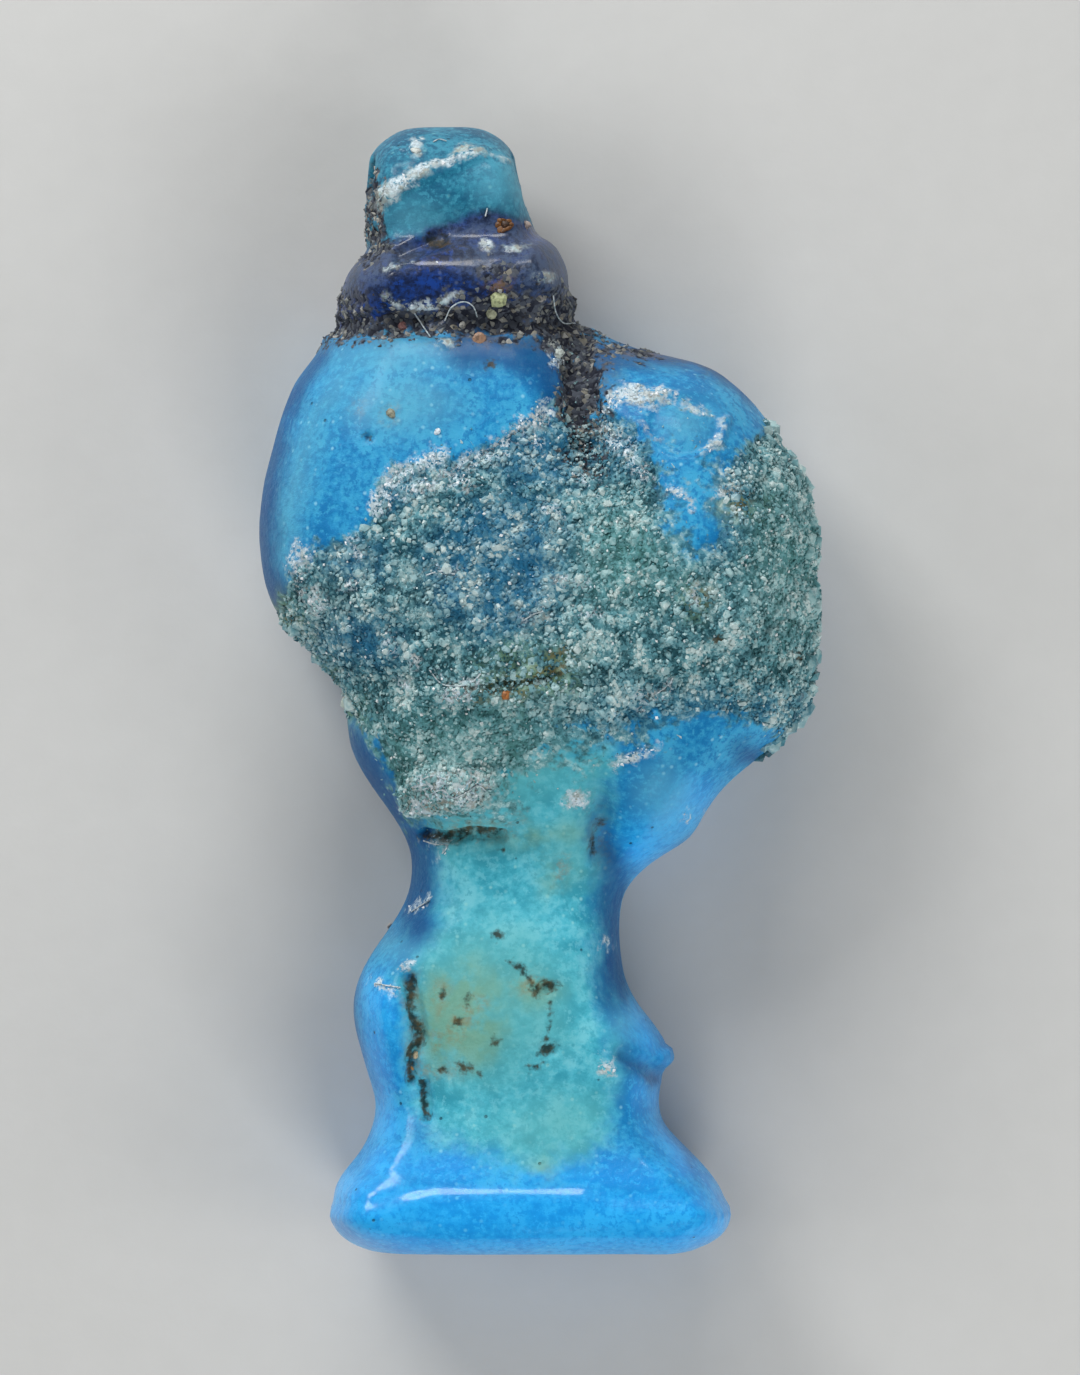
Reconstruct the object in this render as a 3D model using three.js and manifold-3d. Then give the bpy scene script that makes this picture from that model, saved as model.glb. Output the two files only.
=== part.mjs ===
// A small deity amulet of glazed quartz paste, moulded in one piece: a squat bow-legged figure on a
// plinth, its relief worn away, with a bored loop on its crown. It lies on its flat back.
// Millimetres. +Y runs from the plinth up to the loop, +Z out of the face. The origin is on the
// surface that it lies on, under the middle of its outline.
import * as THREE from "three";
import { ParametricGeometry } from "three/addons/geometries/ParametricGeometry.js";
import { mergeVertices } from "three/addons/utils/BufferGeometryUtils.js";
import Module from "manifold-3d";

// Driving sizes.
const height = 18;
const depth = 4.4;
const plinthHeight = 1.58;
const plinthWidth = 6.35;
const plinthDepth = 3.5;
const plinthShift = -0.17; // of its middle, from the figure's middle line
const loopBore = 0.8;
const loopCrown = 0.57; // of the loop's wall above its bore
const loopLift = 0.75; // of the loop's back off the surface that the amulet lies on

// How far from the outline each stretch of the skin rounds over.
const lobeRounding = 1.45;
const limbRounding = 0.9;
const plinthRounding = 0.6;
const loopRounding = 0.5;
const backRounding = 0.65;

// How finely the skin is faceted.
const frontFacets = 32;
const backFacets = 12;
const rows = 98;
const boreFacets = 12;

// The figure's own form is in hundredths of its height above the plinth: up from the plinth, and out
// from its middle line, to the viewer's left (-) and right (+).
const unit = (height - plinthHeight) / 100;
const upFigure = (up) => plinthHeight + up * unit;
const onFigure = (points) => points.map(([up, out]) => [upFigure(up), out * unit]);

// The plinth's sides are in shares of its height and of its half width.
const onPlinth = (points, side) =>
  points.map(([up, out]) => [
    up * plinthHeight,
    plinthShift + (side * out * plinthWidth) / 2,
  ]);

// The outline's two sides as [up, out] points in millimetres.
const leftSide = [
  ...onPlinth([[-0.06, 0.66], [0.05, 0.83], [0.18, 0.94], [0.44, 1], [0.69, 0.97], [1, 0.85]], -1),
  ...onFigure([
    ...[[4, -16.1], [7.9, -17.1], [13.7, -18.4], [17.6, -17.4]], // bowed leg
    ...[[23.5, -13.5], [26.9, -12.6], [30.4, -13.3]], // waist
    ...[[38.6, -18.3], [44.4, -19.5], [48.5, -22.5], [52.8, -26.1]], // flank
    ...[[57.8, -27.4], [63.8, -27.3], [74.2, -24.4], [78.2, -21.8]], // round lobe
    ...[[81, -20.3], [86, -18.7], [87.7, -16.7]], // collar
    ...[[90.1, -17.1], [93.8, -17.6], [96.7, -17], [98.8, -15.3], [100.5, -12.6]], // loop
  ]),
];
const rightSide = [
  ...onPlinth([[-0.06, 0.7], [0.05, 0.84], [0.18, 0.96], [0.44, 1], [0.69, 0.94], [1, 0.8]], 1),
  ...onFigure([
    ...[[2.4, 12.2], [5, 11.7], [7.4, 12.3], [9.1, 12.9], [11.8, 11.5], [14.7, 9.3]], // bowed leg
    ...[[17.6, 8.1], [22.5, 7.9], [25.5, 8.6], [27.9, 11]], // waist
    ...[[30.3, 14.7], [33.2, 16.4], [36.2, 18.9], [41, 25], [43, 26.4]], // worn arm
    ...[[46, 26.9], [52.9, 27.4], [59.5, 27.2], [65.5, 26.1], [71.8, 21.8]], // broken lobe
    ...[[74.7, 19.1], [77, 15.6], [78.2, 10.7]], // shoulder
    ...[[79.6, 6.5], [81.3, 4.3], [83.6, 3.1], [87.9, 1.2]], // collar
    ...[[89.4, -0.4], [92.8, -1.2], [96.2, -2], [98.6, -3.5], [100.5, -6.4]], // loop
  ]),
];

// The front's height above the flat back, as shares of the plinth's depth, then of the figure's.
const plinthCrest = [[-0.06, 0.945], [0.35, 1], [0.7, 0.985], [1.1, 0.9]];
const figureCrest = [
  ...[[4.6, 0.675], [12.3, 0.7], [20, 0.67], [26.6, 0.62]], // shins, knees, waist
  ...[[32, 0.7], [40.8, 0.83], [50.7, 0.89], [62.7, 0.88], [73.7, 0.83]], // belly and lobes
  ...[[79.7, 0.77], [84.7, 0.77], [89, 0.7]], // collar
  ...[[92.3, 0.7], [95.6, 0.68], [98.4, 0.58], [100.5, 0.46]], // loop
];
const crest = [
  ...plinthCrest.map(([up, share]) => [up * plinthHeight, share * plinthDepth]),
  ...figureCrest.map(([up, share]) => [upFigure(up), share * depth]),
];

// Where the figure's stretches begin and end.
const landmarks = { shins: 6, waist: 28, lobesFoot: 41, lobesTop: 75, collar: 82, loopFoot: 89 };

const frontRounding = [
  ...[[0, plinthRounding], [plinthHeight, plinthRounding]],
  ...[[upFigure(landmarks.shins), limbRounding], [upFigure(landmarks.waist), limbRounding]],
  ...[[upFigure(landmarks.lobesFoot), lobeRounding], [upFigure(landmarks.lobesTop), lobeRounding]],
  ...[[upFigure(landmarks.collar), limbRounding], [upFigure(landmarks.loopFoot), loopRounding]],
  [height, loopRounding],
];
const backLift = [
  ...[[0, 0], [upFigure(landmarks.collar), 0]],
  ...[[upFigure(landmarks.loopFoot), loopLift], [height, loopLift]],
];

// Rounded swellings of the front: where they are, how far they reach, and how much they rise. A
// flatness over 1 squares their domes off.
const swellings = {
  leftKnee: { up: 12.3, out: -14.7, tall: 11, wide: 5.5, rise: 1.2 },
  rightKnee: { up: 10.7, out: 8.8, tall: 7.7, wide: 5.5, rise: 1.3 },
  backPillar: { up: 13.4, out: -3.3, tall: 26.3, wide: 9.9, rise: 1.2 },
  loinFold: { up: 35.3, out: -9.3, tall: 4.8, wide: 7.7, rise: 1.7 },
  wornArm: { up: 35.3, out: 13.7, tall: 7.7, wide: 8.8, rise: 1.6 },
  leftLobe: { up: 66, out: -12.6, tall: 18.6, wide: 15.9, rise: 1.8 },
  rightLobe: { up: 63.8, out: 15.3, tall: 19.7, wide: 12.6, rise: 1.8 },
  brokenCore: { up: 52.9, out: 3.3, tall: 16.4, wide: 26.3, rise: 1.6, flatness: 2 },
  collarRoll: { up: 84.9, out: -10.4, tall: 4.6, wide: 13.2, rise: 1 },
  collarKnot: { up: 85.5, out: -0.4, tall: 4.6, wide: 4.8, rise: 0.6 },
  slantedLoopEnd: { up: 94.1, out: -19.1, tall: 7.2, wide: 4.8, rise: -7 },
};

// Cut lines of the front: the points that they run through, their half width and their depth.
const grooves = {
  lobeSeam: { path: [[78.1, 2.9], [74.8, 3.5], [70.4, 4.4], [66, 5]], half: 2.2, deep: 2.4 },
  underCollar: { path: [[80.5, -19.7], [81, -11], [80.6, -3.3], [80, 1.1]], half: 2.1, deep: 1.2 },
  overCollar: { path: [[89, -15.3], [89.5, -9.9], [89.9, -3.3]], half: 1.6, deep: 0.7 },
  loinCrease: { path: [[30.7, -12.1], [31, -8.8], [30.8, -4.4], [30.3, -1.6]], half: 1.4, deep: 1.3 },
  bellyCrease: { path: [[45.7, -10.4], [45.5, -4.4], [47.2, 0.5]], half: 1.4, deep: 0.4 },
  armHollow: { path: [[33.7, 5.9], [30.4, 6.4]], half: 1.8, deep: 1.1 },
  leftLegCut: { path: [[16.1, -12.5], [10.7, -11.8], [4.6, -11]], half: 1.5, deep: 1.2 },
  rightKneeCrease: { path: [[10.5, 8.1], [8.6, 10.3]], half: 1.4, deep: 0.9 },
};

// The smooth line through some [at, value] points, as a function of at.
function through(points) {
  const slope = (i) => {
    const [a, b] = [points[Math.max(i - 1, 0)], points[Math.min(i + 1, points.length - 1)]];
    return (b[1] - a[1]) / (b[0] - a[0]);
  };
  return (at) => {
    const passed = points.findIndex((p) => p[0] > at);
    const i = passed < 0 ? points.length - 2 : Math.max(passed - 1, 0);
    const span = points[i + 1][0] - points[i][0];
    const t = THREE.MathUtils.clamp((at - points[i][0]) / span, 0, 1);
    const [t2, t3] = [t * t, t * t * t];
    return (
      points[i][1] * (2 * t3 - 3 * t2 + 1) +
      points[i + 1][1] * (3 * t2 - 2 * t3) +
      slope(i) * span * (t3 - 2 * t2 + t) +
      slope(i + 1) * span * (t3 - t2)
    );
  };
}

const leftAt = through(leftSide);
const rightAt = through(rightSide);
const crestAt = through(crest);
const roundingAt = through(frontRounding);
const smoothLift = through(backLift);
// The back lies flat: the smooth line's dip before the loop is left out.
const liftAt = (up) => Math.max(smoothLift(up), 0);

// The outline as a closed ring of [up, out] points, for measuring how far inside it a place is.
function outlineRing(steps = 200) {
  const [foot, top] = [leftSide[0][0], leftSide.at(-1)[0]];
  const ups = Array.from({ length: steps + 1 }, (_, i) => THREE.MathUtils.lerp(foot, top, i / steps));
  const left = ups.map((up) => [up, leftAt(up)]);
  const right = ups.map((up) => [up, rightAt(up)]);
  return [...left, ...right.reverse(), left[0]];
}

// The shortest way from a place to a line through [up, out] points.
function distanceToLine(up, out, points) {
  let nearest = Infinity;
  for (let i = 0; i + 1 < points.length; i++) {
    const [[fromUp, fromOut], [toUp, toOut]] = [points[i], points[i + 1]];
    const [alongUp, alongOut] = [toUp - fromUp, toOut - fromOut];
    const reach = (up - fromUp) * alongUp + (out - fromOut) * alongOut;
    const t = THREE.MathUtils.clamp(reach / (alongUp ** 2 + alongOut ** 2), 0, 1);
    nearest = Math.min(nearest, Math.hypot(up - fromUp - t * alongUp, out - fromOut - t * alongOut));
  }
  return nearest;
}

const ring = outlineRing();

// From 0 at an edge to 1 where a quarter circle of the given radius has turned over.
function quarterRound(distance, radius) {
  const left = 1 - Math.min(distance / radius, 1);
  return Math.sqrt(1 - left * left);
}

function swellingAt(up, out, { up: atUp, out: atOut, tall, wide, rise, flatness = 1 }) {
  const r2 = ((up - upFigure(atUp)) / tall) ** 2 + ((out - atOut * unit) / wide) ** 2;
  const reached = r2 / unit ** 2;
  return reached < 1 ? rise * unit * (1 - reached ** flatness) ** 2 : 0;
}

function grooveAt(up, out, { path, half, deep }) {
  const away = distanceToLine(up, out, onFigure(path)) / (half * unit);
  return deep * unit * Math.exp(-(away ** 2));
}

// The front's level away from the outline, with its swellings and cut lines.
function frontAt(up, out) {
  const raised = Object.values(swellings).reduce((sum, s) => sum + swellingAt(up, out, s), 0);
  const cut = Object.values(grooves).reduce((sum, g) => sum + grooveAt(up, out, g), 0);
  return crestAt(up) + raised - cut;
}

// The level of the outline's own edge, between the back and the front.
function edgeAt(up) {
  const edgeShare = 0.42;
  return THREE.MathUtils.lerp(liftAt(up), crestAt(up), edgeShare);
}

function skinLevel(up, out, front) {
  const flat = front ? frontAt(up, out) : liftAt(up);
  const radius = front ? roundingAt(up) : backRounding;
  const turned = quarterRound(distanceToLine(up, out, ring), radius);
  return THREE.MathUtils.lerp(edgeAt(up), flat, turned);
}

// Where the rows of facets cross the figure: at even steps along its outline, so that they crowd
// where the outline runs sideways.
function rowPlaces(steps = 1000) {
  const step = height / steps;
  const walked = [0];
  for (let i = 0; i < steps; i++) {
    const [left, right] = [leftAt, rightAt].map((side) => side((i + 1) * step) - side(i * step));
    walked.push(walked[i] + Math.hypot(step, left, right));
  }
  return Array.from({ length: rows + 1 }, (_, row) => {
    const wanted = (walked[steps] * row) / rows;
    return step * walked.findIndex((length) => length >= wanted);
  });
}

const places = rowPlaces();

// Spreads shares from 0 to 1 so that they crowd at both edges, where the skin turns over.
function crowded(share) {
  const [turnShare, turnWidth] = [0.12, 0.06];
  if (share > 0.5) return 1 - crowded(1 - share);
  if (share < turnShare) return turnWidth * (1 - Math.cos((Math.PI / 2) * (share / turnShare)));
  return THREE.MathUtils.mapLinear(share, turnShare, 0.5, turnWidth, 0.5);
}

// The point of the skin at u round a section, front first, and v up the figure. The first and last
// rows shrink to the middle of the two flat ends.
function skinPoint(u, v, target) {
  const row = THREE.MathUtils.clamp(Math.round(v * (rows + 2)) - 1, 0, rows);
  const up = places[row];
  const facet = Math.round(u * (frontFacets + backFacets));
  const front = facet <= frontFacets;
  const share = front ? facet / frontFacets : (frontFacets + backFacets - facet) / backFacets;
  const onEnd = v === 0 || v === 1;
  const across = onEnd ? 0.5 : crowded(share);
  const out = THREE.MathUtils.lerp(leftAt(up), rightAt(up), across);
  const onEdge = onEnd || across === 0 || across === 1;
  const level = onEdge ? edgeAt(up) : skinLevel(up, out, front);
  target.set(out, up - height / 2, level);
}

function bodyGeometry() {
  return new ParametricGeometry(skinPoint, frontFacets + backFacets, rows + 2);
}

// The suspension hole, from side to side through the loop.
function boreGeometry() {
  const up = height - loopCrown - loopBore / 2;
  const [left, right] = [leftAt(up), rightAt(up)];
  const length = (right - left) * 2;
  const bore = new THREE.CylinderGeometry(loopBore / 2, loopBore / 2, length, boreFacets);
  bore.rotateZ(Math.PI / 2);
  bore.translate((left + right) / 2, up - height / 2, (liftAt(up) + crestAt(up)) / 2);
  return bore;
}

const wasm = await Module();
wasm.setup();

function solidOf(geometry) {
  const bare = geometry.clone();
  bare.deleteAttribute("normal");
  bare.deleteAttribute("uv");
  const merged = mergeVertices(bare, 1e-3);
  const triangles = [];
  const { array } = merged.index;
  for (let i = 0; i < array.length; i += 3) {
    const [a, b, c] = array.slice(i, i + 3);
    if (a !== b && b !== c && a !== c) triangles.push(a, b, c);
  }
  return new wasm.Manifold(
    new wasm.Mesh({
      numProp: 3,
      vertProperties: merged.attributes.position.array,
      triVerts: new Uint32Array(triangles),
    }),
  );
}

function geometryOf(solid) {
  const { vertProperties, triVerts } = solid.getMesh();
  const geometry = new THREE.BufferGeometry();
  geometry.setAttribute("position", new THREE.BufferAttribute(vertProperties, 3));
  geometry.setIndex(new THREE.BufferAttribute(triVerts, 1));
  geometry.computeVertexNormals();
  return geometry;
}

const blueGlaze = new THREE.MeshStandardMaterial({ color: 0x1f86c8, roughness: 0.3, metalness: 0 });

function makeFigure() {
  const bored = solidOf(bodyGeometry()).subtract(solidOf(boreGeometry()));
  const figure = new THREE.Mesh(geometryOf(bored), blueGlaze);
  figure.name = "amulet_figure";
  return figure;
}

const amulet = new THREE.Group();
amulet.add(makeFigure());

export default amulet;
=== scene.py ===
"""A worn glazed amulet, 18 mm tall, lying on its back: its skin, bared core, soil and crust."""

import logging
import math
from dataclasses import dataclass, field
from enum import Enum
from typing import Any, Iterable, Protocol, Sequence, Union

import bmesh
import bpy
import numpy as np
from mathutils import Matrix, Vector
from mathutils.bvhtree import BVHTree


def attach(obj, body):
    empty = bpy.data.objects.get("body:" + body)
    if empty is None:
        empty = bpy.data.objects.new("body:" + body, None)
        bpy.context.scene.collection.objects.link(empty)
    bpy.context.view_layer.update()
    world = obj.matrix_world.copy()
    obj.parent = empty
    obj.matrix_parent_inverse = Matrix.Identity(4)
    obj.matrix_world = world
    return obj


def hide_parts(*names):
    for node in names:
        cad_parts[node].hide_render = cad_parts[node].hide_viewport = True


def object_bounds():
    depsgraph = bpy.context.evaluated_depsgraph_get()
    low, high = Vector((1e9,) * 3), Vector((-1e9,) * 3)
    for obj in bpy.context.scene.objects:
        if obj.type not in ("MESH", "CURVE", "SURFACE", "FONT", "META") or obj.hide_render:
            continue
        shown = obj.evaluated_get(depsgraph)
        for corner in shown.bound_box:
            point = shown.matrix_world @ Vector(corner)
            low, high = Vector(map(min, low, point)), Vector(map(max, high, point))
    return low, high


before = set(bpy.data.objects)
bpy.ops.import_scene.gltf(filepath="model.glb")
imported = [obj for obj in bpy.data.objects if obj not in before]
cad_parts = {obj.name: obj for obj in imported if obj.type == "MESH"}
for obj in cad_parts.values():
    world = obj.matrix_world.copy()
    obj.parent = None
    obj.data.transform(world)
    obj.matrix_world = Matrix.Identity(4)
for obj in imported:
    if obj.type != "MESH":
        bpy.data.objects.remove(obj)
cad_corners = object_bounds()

log = logging.getLogger("amulet")

Array = np.ndarray
Point = tuple[float, float]
Place = tuple[float, float, float]
Colour = tuple[float, float, float]
Span = tuple[float, float]

NODE = "amulet_figure"
BODY = "root"
MM = 0.001


class Zone(Enum):
    """What a stretch of the skin is covered with. The value names its attribute on the mesh."""

    BARE = "bare"
    STRAY = "stray"
    # A brighter, glossier sky-blue glaze, which is partly painted light: it makes the plinth, the
    # lower legs and the right side lighter.
    SKY_AND_PAINTED_LIGHT = "sky_and_painted_light"
    TURQUOISE = "turquoise"
    TEAL = "teal"
    COBALT = "cobalt"
    DUSTY = "dusty"
    SOIL = "soil"
    CRUST = "crust"
    FILM = "film"
    STAIN = "stain"
    JUTTING = "jutting"
    # Deeper blue where the glaze pools, and painted shade along the silhouettes and in grooves.
    DEEP_AND_SHADE = "deep_and_shade"
    # Paler glaze and core, and a painted highlight: the sheen on the left lobe's top and left rim,
    # and on the swollen edge.
    PALE_AND_HIGHLIGHT = "pale"
    BLUISH = "bluish"
    GREENISH = "greenish"
    OCHRE = "ochre"
    PIT = "pit"


class Shape(Protocol):
    """A flat shape on the amulet's front, in millimetres from its middle."""

    def inside(self, at: Array) -> Array:
        """How far inside its edge each place is, in millimetres, and negative outside."""


@dataclass(frozen=True)
class Photograph:
    """The photograph's pixels, in which places on the front are given."""

    middle: Point = (540.0, 687.5)
    pixels_per_mm: float = 62.39

    def on_amulet(self, pixel: Point) -> Point:
        """The place that a pixel shows, in millimetres from the amulet's middle."""
        across = (pixel[0] - self.middle[0]) / self.pixels_per_mm
        return across, (self.middle[1] - pixel[1]) / self.pixels_per_mm

    def path(self, pixels: Sequence[Point]) -> list[Point]:
        """The places that several pixels show."""
        return [self.on_amulet(pixel) for pixel in pixels]


PHOTOGRAPH = Photograph()


@dataclass(frozen=True)
class Patch:
    """A rounded patch: middle as a pixel, half sizes in millimetres, turn in degrees."""

    middle: Point
    wide: float
    tall: float
    turn: float = 0.0

    def inside(self, at: Array) -> Array:
        """How far inside the patch each place is.

        Args:
            at: places as rows of x and y.

        Returns:
            One distance in millimetres for each place.
        """
        angle = math.radians(self.turn)
        away = at - PHOTOGRAPH.on_amulet(self.middle)
        along = away[:, 0] * math.cos(angle) + away[:, 1] * math.sin(angle)
        across = away[:, 1] * math.cos(angle) - away[:, 0] * math.sin(angle)
        reach = np.hypot(along / self.wide, across / self.tall)
        return (1 - reach) * min(self.wide, self.tall)


def distance_to_line(at: Array, path: Sequence[Point]) -> Array:
    """The shortest way from each place to a line through points.

    Args:
        at: places as rows of x and y.
        path: the points of the line.

    Returns:
        One distance in millimetres for each place.
    """
    nearest = np.full(len(at), np.inf)
    for start, end in zip(path, path[1:]):
        first, along = np.array(start), np.subtract(end, start)
        share = np.clip((at - first) @ along / (along @ along), 0, 1)
        offset = at - first - share[:, None] * along
        nearest = np.minimum(nearest, np.hypot(offset[:, 0], offset[:, 1]))
    return nearest


@dataclass(frozen=True)
class Streak:
    """A band along a line through pixels, with its half width in millimetres."""

    path: tuple[Point, ...]
    half: float

    def inside(self, at: Array) -> Array:
        """How far inside the band each place is, in millimetres."""
        return self.half - distance_to_line(at, PHOTOGRAPH.path(self.path))


@dataclass(frozen=True)
class Region:
    """A closed outline through pixels."""

    outline: tuple[Point, ...]

    def inside(self, at: Array) -> Array:
        """How far inside the outline each place is.

        Args:
            at: places as rows of x and y.

        Returns:
            One distance in millimetres for each place.
        """
        closed = PHOTOGRAPH.path((*self.outline, self.outline[0]))
        within = np.zeros(len(at), bool)
        for (x0, y0), (x1, y1) in zip(closed, closed[1:]):
            if y0 == y1:
                continue
            spans = (at[:, 1] < y0) != (at[:, 1] < y1)
            crossing = x0 + (at[:, 1] - y0) * (x1 - x0) / (y1 - y0)
            within ^= spans & (at[:, 0] < crossing)
        return np.where(within, 1, -1) * distance_to_line(at, closed)


# Where each covering lies on the front, read off the photograph, in its pixels.
BARED_CORE = Region((
    *((276, 612), (296, 578), (318, 550), (345, 541), (374, 522), (385, 496)),
    *((400, 470), (440, 462), (472, 462), (500, 442), (530, 427), (552, 405)),
    *((588, 412), (612, 418), (634, 432), (648, 452), (654, 486), (668, 532)),
    *((692, 556), (712, 536), (716, 500), (718, 474), (736, 454), (754, 438), (776, 424)),
    *((800, 425), (840, 500), (845, 650), (835, 735), (788, 738), (750, 724)),
    *((700, 712), (660, 722), (630, 738), (600, 742), (560, 752), (520, 776)),
    *((492, 812), (440, 822), (408, 814), (396, 790), (384, 758), (366, 728)),
    *((330, 715), (270, 660)),
))
WEATHERED_LEGS = Region((
    *((424, 812), (470, 790), (520, 752), (570, 735), (606, 748), (602, 800)),
    *((590, 830), (598, 872), (596, 930), (600, 975), (610, 1030), (613, 1060)),
    *((610, 1120), (590, 1152), (530, 1160), (470, 1146), (434, 1128), (418, 1100)),
    *((416, 1040), (408, 980), (414, 955), (436, 925), (444, 890), (434, 850)),
))
LOOP_FRONT = Region((
    *((340, 90), (560, 90), (556, 236), (512, 236), (478, 226), (452, 240), (400, 254), (350, 260)),
))
COLLAR = Region((
    *((315, 262), (385, 248), (424, 240), (456, 224), (480, 216),
       (508, 222), (536, 226), (610, 276)),
    *((620, 320), (545, 326), (480, 332), (430, 330), (380, 330), (310, 332)),
))
COLLAR_GROOVE = Region((
    *((305, 322), (352, 312), (385, 320), (424, 318), (446, 310), (478, 304), (510, 300)),
    *((560, 296), (584, 304), (604, 334), (598, 362), (600, 400), (600, 436), (588, 460)),
    *((572, 446), (564, 400), (556, 356), (530, 338), (480, 342), (430, 334), (400, 340)),
    *((350, 342), (305, 342)),
))

PLINTH_FACE = Region((
    *((300, 1222), (360, 1212), (410, 1200), (436, 1193), (500, 1192), (580, 1193), (608, 1204)),
    *((690, 1206), (735, 1216), (760, 1270), (300, 1270)),
))

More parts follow.
